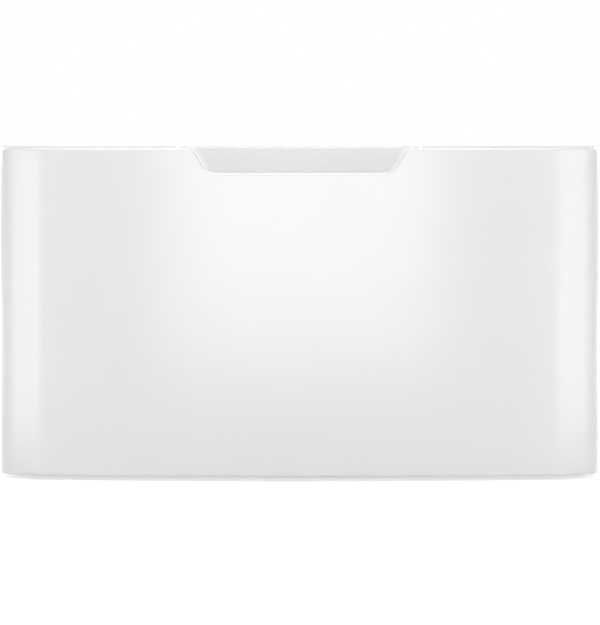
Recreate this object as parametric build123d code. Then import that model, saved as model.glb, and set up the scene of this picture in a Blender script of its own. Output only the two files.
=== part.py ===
"""A laundry pedestal: a sheet-steel cabinet on levelling legs, with one bowed drawer on telescopic ball slides.

Millimetres. +Z is up, the drawer opens along -Y, and the origin lies on the floor under the middle of the
pedestal. Right-hand pieces are drawn and left-hand ones are their mirror images.
"""

import math
import os

from build123d import *

# Overall size
WIDTH = 686.0  # over the deck's rim
HEIGHT = 381.0  # floor to the deck's top, legs screwed home
DEPTH = 684.0  # crown of the bow to the heads of the rear screws

# Drawer front: a moulded shell with a bowed face, closed at the back by a steel liner
FRONT_DEPTH = 60.0  # crown of the bow to the flat back
FRONT_WALL = 3.2
FRONT_EDGE_R = 3.5
BOW_RISE = 23.0  # crown to where the bow, drawn on, would meet the sides
CORNER_LEAD_R = 90.0  # first radius of a front corner, next to the bow
CORNER_R = 24.0  # second radius, next to the side
CORNER_TURN = 35.0  # where the radii meet, in degrees from straight ahead
FRONT_FLOOR_GAP = 5.0
FRONT_GAP = 3.0  # drawer front to cabinet
LINER_SHEET = 1.2
LINER_FLANGE = 4.0
LINER_PLAY = 0.3
BOSS_R = 5.0
BOSS_BORE_R = 1.6
BOSS_RISE = 38.0  # lower bosses above the front's lower edge
BOSS_DROP = 30.0  # upper bosses below the pocket

# Grip: a notch in the front's upper edge and the pocket behind it
NOTCH_DEPTH = 30.3  # below the deck's top
NOTCH_HALF = 103.5  # half width of the lower edge
NOTCH_LEAN = 58.0  # slope of the notch's ends, in degrees
NOTCH_FOOT_R = 14.0
NOTCH_SHOULDER_R = 12.0
POCKET_WALL = 2.5
POCKET_DROP = 22.0  # pocket floor below the notch's lower edge
POCKET_LEAN = 9.0  # how far the back wall leans forward at its foot
POCKET_FOOT_R = 10.0
POCKET_CORNER_R = 24.0  # upright corners at the back
POCKET_OVERLAP = 20.0  # how far the pocket's ends lie behind the face, beyond the notch's
POCKET_PLAY = 0.4
POCKET_LIP_R = 2.4  # upper edge of the back wall
PANEL_DROP = 2.0  # front panel's top below the deck's top
RIM_THICK = 1.4  # rim of the grip, which lies on the front panel's top
RIM_HALF = 286.0
RIM_SETBACK = 9.0
RIM_EDGE_R = 0.9

# Cabinet sheet metal
SHEET = 1.0
BEND_R = 3.5  # middle of the sheet
SEAM = 0.15  # play between nested sheets
CABINET_FLOOR_GAP = 12.0
DECK_RIM = 14.0
DECK_CORNER_R = 4.0
DECK_EDGE_R = 3.0
FIELD_DEPTH = 3.0  # the deck's pressed field, which the machine's feet stand in
FIELD_BORDER = 30.0
FIELD_CORNER_R = 25.0
BOLT_SPACING_X = 560.0
BOLT_SPACING_Y = 480.0
BOLT_HOLE_R = 5.5
FRONT_FLANGE_RETURN = 12.0
REAR_FLANGE = 22.0
TOP_FLANGE = 18.0
BOTTOM_FLANGE = 15.0
REAR_FIELD_DEPTH = 6.0
REAR_FIELD_BORDER = 45.0
REAR_PANEL_GAP = 1.0  # below the deck's rim
REAR_PANEL_LIFT = 4.0  # above the cabinet's lower edge

# Cross members
RAIL_SHEET = 1.5
RAIL_WIDTH = 56.0
RAIL_TAB = 30.0
RAIL_GAP = 4.0  # rail to the folds beside it
BRACE_HEIGHT = 26.0
BRACE_FOOT = 18.0
BRACE_SEAT = 28.0  # bolt axis to the brace's web

# Screws and rivets
SCREW_HEAD_R = 4.0
SCREW_HEAD_H = 2.0
SCREW_R = 2.0
SCREW_PLAY = 0.1
SCREW_LENGTH = 8.0
HEAD_BEVEL = 0.5  # share of a head's height
REAR_SCREW_ROWS = 4
RIVET_HEAD_R = 4.5
RIVET_HEAD_H = 1.2
RIVET_R = 2.4

# Levelling legs
LEG_INSET_X = 43.0
LEG_TRAVEL = 22.0
STEM_R = 5.0
STEM_PLAY = 0.15
STEM_SPARE = 3.0
STEM_SEAT = 5.0  # depth of the stem in its pad
PAD_R = 19.0
PAD_TOP_R = 13.0
PAD_H = 9.0
COLLAR_H = 8.5
LEG_STOP_PLAY = 0.3
HEX_FLATS = 17.0
LOCK_NUT_H = 6.0
WELD_NUT_H = 8.0

# Telescopic slides: u runs from the bracket towards the drawer, w is height about the slide's middle
SLIDE_INSET = 40.0  # side of the pedestal to the slide's back
SLIDE_LENGTH = 550.0
SLIDE_TRAVEL = 500.0
SLIDE_Z = 185.0
SLIDE_SETBACK = 4.0  # cabinet front to the slide's front end
SLIDE_THICK = 12.7
SLIDE_HEIGHT = 45.7
SLIDE_SHEET = 1.2
SLIDE_BEND_R = 1.5
SLIDE_OUTER_DEPTH = 11.0
SLIDE_LIP = 3.2
OUTER_BALL_R = 2.0
INNER_BALL_R = 1.75
BALL_PLAY = 0.12
BALL_PITCH = 32.0
BALLS_PER_ROW = 6
CAGE_SHEET = 0.6
CAGE_PLAY = 0.3
CAGE_END = 10.0  # last ball to the cage's end
SLIDE_SLOT_R = 3.2
SLIDE_SLOT_LENGTH = 22.0
SLIDE_SLOT_PITCH = 96.0
OUTER_SLOTS = 4
MIDDLE_SLOTS = 5
SLIDE_SCREW_PITCH = 200.0
BRACKET_SHEET = 1.2
BRACKET_HEIGHT = 74.0
BRACKET_FLANGE = 14.0
BRACKET_REAR_GAP = 24.0

# Release levers in the slides' inner members
LEVER_LENGTH = 52.0
LEVER_HUB_R = 6.5
LEVER_TIP_R = 3.0
LEVER_NECK = 0.8  # half the arm's root, as a share of the hub's radius
LEVER_THICK = 2.2
LEVER_PIN_R = 2.0
LEVER_PLAY = 0.15
LEVER_PLACE = 0.4  # share of the slide's length from its front end

# Drawer box
DRAWER_SHEET = 1.0
DRAWER_BEND_R = 2.5
DRAWER_FLOOR_Z = 52.0
DRAWER_HEADROOM = 43.0  # box's upper edge below the deck's top
DRAWER_REAR_GAP = 48.0
DRAWER_ROLL = 8.0
DRAWER_ROLL_DROP = 7.0
DRAWER_FLANGE = 18.0
FLOOR_LEDGE = 12.0
BOX_SCREW_INSET = 40.0
BEAD_HEIGHT = 3.0
BEAD_WIDTH = 16.0
BEAD_PITCH = 90.0
BEAD_COUNT = 5

# Bumpers between the drawer front and the cabinet
BUMPER_R = 6.0
BUMPER_STEM_R = 2.5
BUMPER_PLAY = 0.3
BUMPER_BARB = 3.0
BUMPER_LOW_Z = 70.0
BUMPER_DROP = 37.0  # upper bumpers below the deck's rim

# Planes and lines that several pieces share
HALF = WIDTH / 2
Y_FRONT = -DEPTH / 2
Y_REAR = DEPTH / 2
Y_FRONT_BACK = Y_FRONT + FRONT_DEPTH
Y_LINER = Y_FRONT_BACK - LINER_SHEET
Y_CABINET = Y_FRONT_BACK + FRONT_GAP
Y_CABINET_BACK = Y_REAR - SCREW_HEAD_H
Z_PANEL_TOP = HEIGHT - PANEL_DROP
Z_RIM = Z_PANEL_TOP + RIM_THICK
Z_NOTCH = HEIGHT - NOTCH_DEPTH
NOTCH_RUN = 1 / math.tan(math.radians(NOTCH_LEAN))
Z_POCKET = Z_NOTCH - POCKET_DROP
Z_FIELD = HEIGHT - FIELD_DEPTH
X_SIDE = HALF - SHEET - SEAM  # outer face of a side panel
X_SIDE_IN = X_SIDE - SHEET
Y_SIDE_FRONT = Y_CABINET + SHEET + SEAM
Y_SIDE_BACK = Y_CABINET_BACK - SHEET
X_SLIDE = HALF - SLIDE_INSET
X_BOX = X_SLIDE - SLIDE_THICK  # outer face of the drawer box
X_BOX_IN = X_BOX - DRAWER_SHEET
Y_SLIDE = Y_CABINET + SLIDE_SETBACK
Y_BOX_BACK = Y_CABINET_BACK - DRAWER_REAR_GAP
Z_BOX_TOP = HEIGHT - DRAWER_HEADROOM
LEG_X = HALF - LEG_INSET_X
RAIL_HALF = RAIL_WIDTH / 2 + RAIL_SHEET + RAIL_GAP
LEG_YS = (
    Y_SIDE_FRONT + SHEET + FRONT_FLANGE_RETURN + RAIL_HALF,
    Y_SIDE_BACK - SHEET - REAR_FIELD_DEPTH - RAIL_HALF,
)
Z_COLLAR = PAD_H + COLLAR_H
Z_RAIL = Z_COLLAR + LEG_STOP_PLAY + LOCK_NUT_H  # underside of a base rail's web
Z_WELD_NUT = Z_RAIL + RAIL_SHEET
BUMPER_X = (X_SLIDE + X_SIDE) / 2


def block(x0, x1, y0, y1, z0, z1):
    """A box between two corners."""
    return Pos((x0 + x1) / 2, (y0 + y1) / 2, (z0 + z1) / 2) * Box(x1 - x0, y1 - y0, z1 - z0)


def along_x(sketch, x0, x1):
    """Draws a (y, z) sketch out from x0 to x1."""
    return extrude(Plane((x0, 0, 0), x_dir=(0, 1, 0), z_dir=(1, 0, 0)) * sketch, x1 - x0)


def along_y(sketch, y0, y1):
    """Draws an (x, z) sketch out from y0 to y1."""
    return extrude(Plane((0, y1, 0), x_dir=(1, 0, 0), z_dir=(0, -1, 0)) * sketch, y1 - y0)


def along_z(sketch, z0, z1):
    """Draws an (x, y) sketch out from z0 to z1."""
    return extrude(Plane((0, 0, z0)) * sketch, z1 - z0)


def folded(points, sheet, radius):
    """Section of a folded sheet whose middle runs through points."""
    return trace(FilletPolyline(*points, radius=radius), sheet)


def polygon(*points):
    """A flat face inside a ring of points."""
    return make_face(Polyline(*points, close=True))


def rod(radius, start, end):
    """A round bar from one point to another along X, Y or Z."""
    axis = Vector(*end) - Vector(*start)
    return extrude(Plane(start, z_dir=axis) * Circle(radius), axis.length)


def hexagon(flats, x, y, z0, z1, bore=0.0):
    """An upright hexagonal bar, with a bore where one is given."""
    section = RegularPolygon(flats / 2, 6, major_radius=False)
    if bore:
        section -= Circle(bore)
    return along_z(Pos(x, y) * section, z0, z1)


def pan_screw(head, direction, length, radius=SCREW_R, head_r=SCREW_HEAD_R, head_h=SCREW_HEAD_H):
    """A screw whose head's underside lies at head and whose shank runs along direction."""
    seat = Vector(*head)
    axis = Vector(*direction).normalized()
    shank = rod(radius, seat, seat + axis * length)
    cap = extrude(Plane(seat, z_dir=axis * -1) * Circle(head_r), head_h)
    top = cap.edges().filter_by(GeomType.CIRCLE).sort_by_distance(seat - axis * head_h)[0]
    return shank + chamfer(top, head_h * HEAD_BEVEL)


def left(shape):
    """The mirror image on the pedestal's left side."""
    return mirror(shape, about=Plane.YZ)


def both_sides(shapes):
    """Pieces on the right with their mirror images on the left."""
    return [*shapes, *(left(shape) for shape in shapes)]


def group(shapes):
    """Separate solids that share one node."""
    return Compound(children=[solid for shape in shapes for solid in shape.solids()])


# Drawer front


def plan_arc(centre_x, centre_y, radius, start, end):
    """An arc in plan between two angles from straight ahead, positive to the right."""
    points = [
        (centre_x + radius * math.sin(angle), centre_y - radius * math.cos(angle))
        for angle in (start, (start + end) / 2, end)
    ]
    return ThreePointArc(*points)


def front_plan(inset=0.0, y_back=Y_FRONT_BACK):
    """Plan outline of the drawer front: a bow, corners whose radius tightens towards the sides, straight sides."""
    bow_r = (HALF**2 + BOW_RISE**2) / (2 * BOW_RISE)
    turn = math.radians(CORNER_TURN)
    x = HALF - CORNER_R
    lead_x = x - (CORNER_LEAD_R - CORNER_R) * math.sin(turn)
    bow_end = math.asin(lead_x / (bow_r - CORNER_LEAD_R))
    lead_y = Y_FRONT + bow_r - (bow_r - CORNER_LEAD_R) * math.cos(bow_end)
    y = lead_y - (CORNER_LEAD_R - CORNER_R) * math.cos(turn)
    outline = [
        plan_arc(0, Y_FRONT + bow_r, bow_r, -bow_end, bow_end),
        plan_arc(lead_x, lead_y, CORNER_LEAD_R, bow_end, turn),
        plan_arc(x, y, CORNER_R, turn, math.pi / 2),
        Polyline((HALF, y), (HALF, y_back), (-HALF, y_back), (-HALF, y)),
        plan_arc(-x, y, CORNER_R, -math.pi / 2, -turn),
        plan_arc(-lead_x, lead_y, CORNER_LEAD_R, -turn, -bow_end),
    ]
    face = make_face(outline)
    return offset(face, -inset, kind=Kind.INTERSECTION) if inset else face


def inside_front(inset, z0, z1):
    """The space inside the drawer front's outline, open at the back."""
    return along_z(front_plan(inset, Y_FRONT_BACK + FRONT_DEPTH), z0, z1)


def notch_half(z):
    """Half width of the notch at a height."""
    return NOTCH_HALF + (z - Z_NOTCH) * NOTCH_RUN


def front_elevation():
    """Elevation of the drawer front: a rectangle with the grip notch in its upper edge."""
    shoulder = notch_half(Z_PANEL_TOP)
    face = polygon(
        (-HALF, FRONT_FLOOR_GAP),
        (HALF, FRONT_FLOOR_GAP),
        (HALF, Z_PANEL_TOP),
        (shoulder, Z_PANEL_TOP),
        (NOTCH_HALF, Z_NOTCH),
        (-NOTCH_HALF, Z_NOTCH),
        (-shoulder, Z_PANEL_TOP),
        (-HALF, Z_PANEL_TOP),
    )
    inner = face.vertices().filter_by(lambda v: abs(v.X) < HALF - CORNER_R)
    feet = inner.filter_by(lambda v: v.Y < Z_PANEL_TOP - FRONT_WALL)
    face = fillet(feet, NOTCH_FOOT_R)
    shoulders = face.vertices().filter_by(
        lambda v: abs(v.X) < HALF - CORNER_R and v.Y > Z_PANEL_TOP - FRONT_WALL
    )
    return fillet(shoulders, NOTCH_SHOULDER_R)


def boss_places():
    """Where the liner is screwed to the drawer front, as (x, z)."""
    low = FRONT_FLOOR_GAP + BOSS_RISE
    high = Z_POCKET - BOSS_DROP
    outer = X_BOX + SLIDE_THICK / 2
    return [(x, z) for z in (low, high) for x in (-outer, -outer / 2, 0, outer / 2, outer)]


def drawer_front_panel():
    """The bowed shell, with bosses behind its face for the liner's screws."""
    solid = along_z(front_plan(), FRONT_FLOOR_GAP, Z_PANEL_TOP) & along_y(
        front_elevation(), Y_FRONT, Y_FRONT_BACK
    )
    rounded = (
        solid.edges()
        .filter_by(lambda e: e.center().Y < Y_FRONT_BACK - 0.1)
        .filter_by(Axis.Z, reverse=True)
        .filter_by(lambda e: not (abs((e % 0.5).Y) > 0.99 and abs(e.center().X) < HALF - CORNER_R))
    )
    shell = fillet(rounded, FRONT_EDGE_R)
    z_under_top = Z_PANEL_TOP - FRONT_WALL
    shell -= inside_front(FRONT_WALL, FRONT_FLOOR_GAP + FRONT_WALL, z_under_top)
    over_pocket = along_y(pocket_ends(-POCKET_PLAY, z_under_top, Z_PANEL_TOP), Y_FRONT, Y_FRONT_BACK)
    shell -= over_pocket & inside_front(FRONT_WALL, z_under_top, Z_PANEL_TOP)
    inside = inside_front(FRONT_WALL / 2, FRONT_FLOOR_GAP, Z_PANEL_TOP)
    for x, z in boss_places():
        shell += rod(BOSS_R, (x, Y_LINER, z), (x, Y_FRONT, z)) & inside
        shell -= rod(BOSS_BORE_R, (x, Y_LINER, z), (x, Y_LINER - SCREW_LENGTH - LINER_SHEET, z))
    return shell


def drawer_front_liner():
    """Steel sheet that closes the drawer front's back, with flanges down its sides and along its foot."""
    half = HALF - FRONT_WALL - LINER_PLAY
    z0 = FRONT_FLOOR_GAP + FRONT_WALL + LINER_PLAY
    z1 = Z_PANEL_TOP - FRONT_WALL - LINER_PLAY
    pan = block(-half, half, Y_LINER - LINER_FLANGE, Y_FRONT_BACK, z0, z1)
    pan = fillet(pan.edges().filter_by(Axis.Y).sort_by(Axis.Z)[:2], DRAWER_BEND_R)
    pan -= block(
        -half + LINER_SHEET, half - LINER_SHEET, Y_FRONT, Y_LINER, z0 + LINER_SHEET, HEIGHT
    )
    pan &= inside_front(FRONT_WALL + LINER_PLAY, FRONT_FLOOR_GAP, HEIGHT)
    for x, z in boss_places():
        pan -= rod(SCREW_R + SCREW_PLAY, (x, Y_FRONT_BACK, z), (x, Y_LINER, z))
    for x, z in box_screw_places():
        pan -= rod(SCREW_R + SCREW_PLAY, (x, Y_FRONT_BACK, z), (x, Y_LINER, z))
    return pan


def pocket_ends(wall, z0, z1):
    """Elevation of the grip pocket between two heights, drawn in by a wall: its ends slant as the notch's do."""
    low = notch_half(z0) + POCKET_OVERLAP - wall
    high = notch_half(z1) + POCKET_OVERLAP - wall
    return polygon((-low, z0), (low, z0), (high, z1), (-high, z1))


def pocket_back(wall, z):
    """Where the pocket's back wall stands at a height: it leans forward at its foot."""
    lean = POCKET_LEAN / (Z_PANEL_TOP - Z_POCKET)
    return Y_LINER - POCKET_PLAY - wall - (Z_PANEL_TOP - z) * lean


def pocket_space(wall, z1):
    """Space of the grip pocket up to a height, drawn in by a wall, with its foot and back corners rounded."""
    z0 = Z_POCKET + wall
    section = polygon(
        (Y_FRONT, z0), (pocket_back(wall, z0), z0), (pocket_back(wall, z1), z1), (Y_FRONT, z1)
    )
    space = along_y(pocket_ends(wall, z0, z1), Y_FRONT, Y_FRONT_BACK) & along_x(section, -HALF, HALF)
    space &= inside_front(FRONT_WALL + POCKET_PLAY + wall, z0, z1)
    middle = Y_FRONT_BACK - FRONT_DEPTH / 2
    upright = space.edges().filter_by(
        lambda e: e.center().Y > middle and z0 + POCKET_FOOT_R < e.center().Z < z1 - POCKET_WALL
    )
    space = fillet(upright, POCKET_CORNER_R - wall)
    foot = space.edges().filter_by(lambda e: e.center().Z < z0 + POCKET_WALL)
    return fillet(foot, POCKET_FOOT_R - wall)


def flared_pocket():
    """Inside of the grip pocket, which widens in a curve into the space above the rim."""
    above = block(-HALF, HALF, Y_FRONT, Y_FRONT_BACK, Z_RIM, HEIGHT)
    space = pocket_space(POCKET_WALL, Z_RIM) + above
    back = space.edges().filter_by(Axis.X).sort_by_distance((0, pocket_back(POCKET_WALL, Z_RIM), Z_RIM))[0]
    return fillet(back, POCKET_LIP_R)


def grip_insert():
    """Moulded grip: a pocket behind the notch, hung from a rim that lies on the drawer front's top."""
    middle = (Y_FRONT + Y_FRONT_BACK) / 2
    rim_plan = front_plan(RIM_SETBACK, Y_FRONT_BACK + RIM_SETBACK)
    rim_plan &= Pos(0, middle) * Rectangle(2 * RIM_HALF, FRONT_DEPTH)
    rim = along_z(rim_plan, Z_PANEL_TOP, Z_RIM)
    rim = fillet(rim.faces().sort_by(Axis.Z)[-1].edges(), RIM_EDGE_R)
    insert = rim + pocket_space(0, Z_PANEL_TOP) - flared_pocket()
    mouth = pocket_ends(POCKET_OVERLAP - POCKET_PLAY, Z_NOTCH - FRONT_WALL, HEIGHT)
    return insert - along_y(mouth, Y_FRONT, middle)


# Cabinet


def pressed_field(width, length, corner_r, depth, sheet):
    """A field pressed down into a flat sheet: (metal to add, space to cut), below z 0."""
    outline = RectangleRounded(width, length, corner_r)
    spread = 2 * sheet * (math.sqrt(2) - 1)
    under = RectangleRounded(width + spread, length + spread, corner_r + spread / 2)
    metal = extrude(under, depth + sheet, dir=(0, 0, -1), taper=45)
    space = extrude(outline, depth, dir=(0, 0, -1), taper=45)
    return metal, space


def bolt_places():
    """The four bolts that hold the machine, as (x, y)."""
    middle = (Y_CABINET + Y_CABINET_BACK) / 2
    return [
        (x * BOLT_SPACING_X / 2, middle + y * BOLT_SPACING_Y / 2) for x in (-1, 1) for y in (-1, 1)
    ]


def top_deck():
    """The deck: a pressed sheet with a turned-down rim and a sunk field with four bolt holes."""
    deck = block(-HALF, HALF, Y_CABINET, Y_CABINET_BACK, HEIGHT - DECK_RIM, HEIGHT)
    deck = fillet(deck.edges().filter_by(Axis.Z), DECK_CORNER_R)
    deck = fillet(deck.faces().sort_by(Axis.Z)[-1].edges(), DECK_EDGE_R)
    deck = offset(deck, -SHEET, openings=deck.faces().sort_by(Axis.Z)[0])
    length = Y_CABINET_BACK - Y_CABINET
    metal, space = pressed_field(
        WIDTH - 2 * FIELD_BORDER, length - 2 * FIELD_BORDER, FIELD_CORNER_R, FIELD_DEPTH, SHEET
    )
    place = Pos(0, (Y_CABINET + Y_CABINET_BACK) / 2, HEIGHT)
    deck = deck + place * metal - place * space
    for x, y in bolt_places():
        deck -= rod(BOLT_HOLE_R, (x, y, Z_FIELD - 2 * SHEET), (x, y, HEIGHT))
    return deck


def side_panel():
    """Right side: one sheet folded inward on all four edges, with open corner reliefs."""
    x = X_SIDE - SHEET / 2
    z0 = CABINET_FLOOR_GAP + SHEET / 2
    z1 = HEIGHT - SHEET * 1.5
    y0 = Y_SIDE_FRONT + SHEET / 2
    y1 = Y_SIDE_BACK - SHEET / 2
    x_flange = X_SLIDE + SHEET / 2
    upright = folded(
        [(x - TOP_FLANGE, z1), (x, z1), (x, z0), (x - BOTTOM_FLANGE, z0)], SHEET, BEND_R
    )
    ends = folded(
        [
            (x_flange, y0 + FRONT_FLANGE_RETURN),
            (x_flange, y0),
            (x, y0),
            (x, y1),
            (x - REAR_FLANGE, y1),
        ],
        SHEET,
        BEND_R,
    )
    relief = BEND_R + SHEET / 2
    panel = along_y(upright, y0 + relief, y1 - relief) + along_z(ends, z0 + relief, z1 - relief)
    for z in bumper_heights():
        panel -= rod(BUMPER_STEM_R, (BUMPER_X, Y_CABINET, z), (BUMPER_X, Y_SIDE_FRONT + SHEET, z))
    for screw_x, z in rear_screw_places():
        panel -= rod(
            SCREW_R + SCREW_PLAY, (screw_x, Y_SIDE_BACK, z), (screw_x, Y_SIDE_BACK - SHEET, z)
        )
    return panel


def rear_screw_places():
    """Screws down the right edge of the rear panel, as (x, z)."""
    x = X_SIDE - REAR_FLANGE / 2
    low = CABINET_FLOOR_GAP + REAR_PANEL_LIFT + REAR_FLANGE
    high = HEIGHT - DECK_RIM - REAR_FLANGE
    step = (high - low) / (REAR_SCREW_ROWS - 1)
    return [(x, low + i * step) for i in range(REAR_SCREW_ROWS)]


def rear_panel():
    """Galvanised back with a field pressed inward, screwed to the sides' rear flanges."""
    z0 = CABINET_FLOOR_GAP + REAR_PANEL_LIFT
    z1 = HEIGHT - DECK_RIM - REAR_PANEL_GAP
    half = X_SIDE - SHEET
    panel = block(-half, half, Y_SIDE_BACK, Y_CABINET_BACK, z0, z1)
    panel = fillet(panel.edges().filter_by(Axis.Y), BEND_R)
    metal, space = pressed_field(
        2 * (half - REAR_FIELD_BORDER),
        z1 - z0 - 2 * REAR_FIELD_BORDER,
        FIELD_CORNER_R,
        REAR_FIELD_DEPTH,
        SHEET,
    )
    place = Plane((0, Y_CABINET_BACK, (z0 + z1) / 2), x_dir=(1, 0, 0), z_dir=(0, 1, 0))
    panel = panel + place * metal - place * space
    for x, z in rear_screw_places():
        for side in (x, -x):
            panel -= rod(SCREW_R + SCREW_PLAY, (side, Y_SIDE_BACK, z), (side, Y_CABINET_BACK, z))
    return panel


def rear_panel_screws():
    """Pan-head screws round the rear panel."""
    screws = [
        pan_screw((x, Y_CABINET_BACK, z), (0, -1, 0), SCREW_LENGTH) for x, z in rear_screw_places()
    ]
    return group(both_sides(screws))


def base_rail(y):
    """Cross member at the foot: a channel open below, whose ends turn up along the side panels."""
    z = Z_RAIL + RAIL_SHEET / 2
    z0 = CABINET_FLOOR_GAP + SHEET
    y0 = y - RAIL_WIDTH / 2
    y1 = y + RAIL_WIDTH / 2
    end = X_SIDE_IN
    x = end - RAIL_SHEET / 2
    relief = BEND_R + RAIL_SHEET / 2
    channel = folded([(y0, z0), (y0, z), (y1, z), (y1, z0)], RAIL_SHEET, BEND_R)
    tabs = folded([(-x, z + RAIL_TAB), (-x, z), (x, z), (x, z + RAIL_TAB)], RAIL_SHEET, BEND_R)
    rail = along_x(channel, -end + relief, end - relief)
    rail += along_y(tabs, y0 + relief, y1 - relief)
    for side in (-LEG_X, LEG_X):
        rail -= rod(STEM_R + STEM_PLAY, (side, y, Z_RAIL), (side, y, Z_WELD_NUT))
    return rail


def deck_brace(facing):
    """Brace under the deck's field, its ends turned down along the sides. Facing 1 is the rear one, -1 the front."""
    y_bolt = bolt_places()[1 if facing > 0 else 0][1]
    z = Z_FIELD - SHEET - RAIL_SHEET / 2
    web = y_bolt - facing * BRACE_SEAT
    edge = y_bolt + facing * BRACE_FOOT
    foot = web + facing * BRACE_FOOT
    end = X_SIDE_IN
    x = end - RAIL_SHEET / 2
    relief = BEND_R + RAIL_SHEET / 2
    section = folded(
        [(edge, z), (web, z), (web, z - BRACE_HEIGHT), (foot, z - BRACE_HEIGHT)], RAIL_SHEET, BEND_R
    )
    tabs = folded([(-x, z - BRACE_HEIGHT), (-x, z), (x, z), (x, z - BRACE_HEIGHT)], RAIL_SHEET, BEND_R)
    brace = along_x(section, -end + relief, end - relief)
    low, high = sorted((web + facing * relief, edge))
    brace += along_y(tabs, low, high)
    for bolt_x in (-BOLT_SPACING_X / 2, BOLT_SPACING_X / 2):
        brace -= rod(
            BOLT_HOLE_R, (bolt_x, y_bolt, z - RAIL_SHEET), (bolt_x, y_bolt, z + RAIL_SHEET)
        )
    return brace


def slide_bracket():
    """Hat-shaped bracket that carries the right slide clear of the front flange."""
    web = X_SLIDE + BRACKET_SHEET / 2
    wall = X_SIDE_IN - BRACKET_SHEET / 2
    z0 = SLIDE_Z - BRACKET_HEIGHT / 2
    z1 = SLIDE_Z + BRACKET_HEIGHT / 2
    section = folded(
        [
            (wall, z0 - BRACKET_FLANGE),
            (wall, z0),
            (web, z0),
            (web, z1),
            (wall, z1),
            (wall, z1 + BRACKET_FLANGE),
        ],
        BRACKET_SHEET,
        DRAWER_BEND_R,
    )
    y0 = Y_SIDE_FRONT + SHEET / 2 + FRONT_FLANGE_RETURN + SHEET
    bracket = along_y(section, y0, Y_SIDE_BACK - BRACKET_REAR_GAP)
    for y in slide_screw_ys():
        bracket -= rod(RIVET_R, (X_SLIDE, y, SLIDE_Z), (X_SLIDE + BRACKET_SHEET, y, SLIDE_Z))
    return bracket


def bumper_heights():
    """Heights of the bumpers on a front flange."""
    return (BUMPER_LOW_Z, HEIGHT - DECK_RIM - BUMPER_DROP)


def front_bumpers():
    """Domed buffers on the front flanges, each with a barbed stem through its hole."""
    face = Y_SIDE_FRONT
    nose = Y_FRONT_BACK + BUMPER_PLAY
    bumpers = []
    for z in bumper_heights():
        dome = rod(BUMPER_R, (BUMPER_X, face, z), (BUMPER_X, nose, z))
        rim = dome.edges().filter_by(GeomType.CIRCLE).sort_by(Axis.Y)[0]
        dome = chamfer(rim, (face - nose) * HEAD_BEVEL)
        stem = rod(BUMPER_STEM_R, (BUMPER_X, face, z), (BUMPER_X, face + SHEET + BUMPER_BARB, z))
        bumpers.append(dome + stem)
    return group(both_sides(bumpers))


# Levelling legs


def leg_nuts(z0, z1):
    """A hexagon nut on each leg's axis, between two heights."""
    places = [(x, y) for x in (-LEG_X, LEG_X) for y in LEG_YS]
    return group([hexagon(HEX_FLATS, x, y, z0, z1, STEM_R + STEM_PLAY) for x, y in places])


def leg_stem(x, y):
    """Threaded stem with a hexagon collar, screwed home."""
    z_top = Z_WELD_NUT + WELD_NUT_H + LEG_TRAVEL + STEM_SPARE
    stem = rod(STEM_R, (x, y, PAD_H - STEM_SEAT), (x, y, z_top))
    stem = chamfer(stem.edges().sort_by(Axis.Z)[-1], STEM_R / 4)
    return stem + hexagon(HEX_FLATS, x, y, PAD_H, Z_COLLAR)


def leg_pad(x, y):
    """Rubber pad: a round foot that narrows to the collar."""
    lip = PAD_H / 4
    section = polygon(
        (0, 0), (PAD_R - lip / 2, 0), (PAD_R, lip / 2), (PAD_R, lip), (PAD_TOP_R, PAD_H), (0, PAD_H)
    )
    pad = revolve(Plane.XZ * section, Axis.Z)
    pad -= rod(STEM_R, (0, 0, PAD_H - STEM_SEAT), (0, 0, PAD_H))
    return Pos(x, y) * pad


# Telescopic slides


def slide_section(points, sheet):
    """Section of a slide's member, from (u, w) points on the middle of its sheet."""
    return folded(points, sheet, SLIDE_BEND_R)


def slide_run(sketch, y0, length):
    """Draws a (u, w) sketch out along the right slide."""
    return extrude(Plane((X_SLIDE, y0, SLIDE_Z), x_dir=(-1, 0, 0), z_dir=(0, 1, 0)) * sketch, length)


OUTER_FACE = SLIDE_HEIGHT / 2 - SLIDE_SHEET  # race of the cabinet member
OUTER_BALL_W = OUTER_FACE - BALL_PLAY - OUTER_BALL_R
MIDDLE_FACE = OUTER_BALL_W - OUTER_BALL_R - BALL_PLAY  # outer race of the middle member
MIDDLE_BACK = MIDDLE_FACE - SLIDE_SHEET  # its inner race
INNER_BALL_W = MIDDLE_BACK - BALL_PLAY - INNER_BALL_R
INNER_FACE = INNER_BALL_W - INNER_BALL_R - BALL_PLAY  # race of the drawer member
OUTER_CAGE_U = SLIDE_SHEET + CAGE_PLAY + CAGE_SHEET / 2
MIDDLE_U = OUTER_CAGE_U + CAGE_SHEET / 2 + CAGE_PLAY + SLIDE_SHEET / 2
INNER_CAGE_U = MIDDLE_U + SLIDE_SHEET / 2 + CAGE_PLAY + CAGE_SHEET / 2
INNER_EDGE_U = INNER_CAGE_U + CAGE_SHEET / 2 + CAGE_PLAY
INNER_U = SLIDE_THICK - SLIDE_SHEET / 2
OUTER_EDGE_U = SLIDE_OUTER_DEPTH - SLIDE_SHEET / 2
OUTER_BALL_U = (SLIDE_SHEET + OUTER_EDGE_U - SLIDE_SHEET / 2) / 2 + CAGE_PLAY
INNER_BALL_U = (INNER_CAGE_U + SLIDE_THICK - SLIDE_SHEET) / 2 - CAGE_PLAY
CAGE_LENGTH = (BALLS_PER_ROW - 1) * BALL_PITCH + 2 * CAGE_END
Y_CAGE = Y_SLIDE + SLIDE_TRAVEL / 4 + (SLIDE_LENGTH - SLIDE_TRAVEL / 2 - CAGE_LENGTH) / 2
Y_LEVER = Y_SLIDE + SLIDE_LENGTH * LEVER_PLACE


def slide_screw_ys():
    """Fixing points along a slide."""
    middle = Y_SLIDE + SLIDE_LENGTH / 2
    return [middle + i * SLIDE_SCREW_PITCH for i in (-1, 0, 1)]


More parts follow.
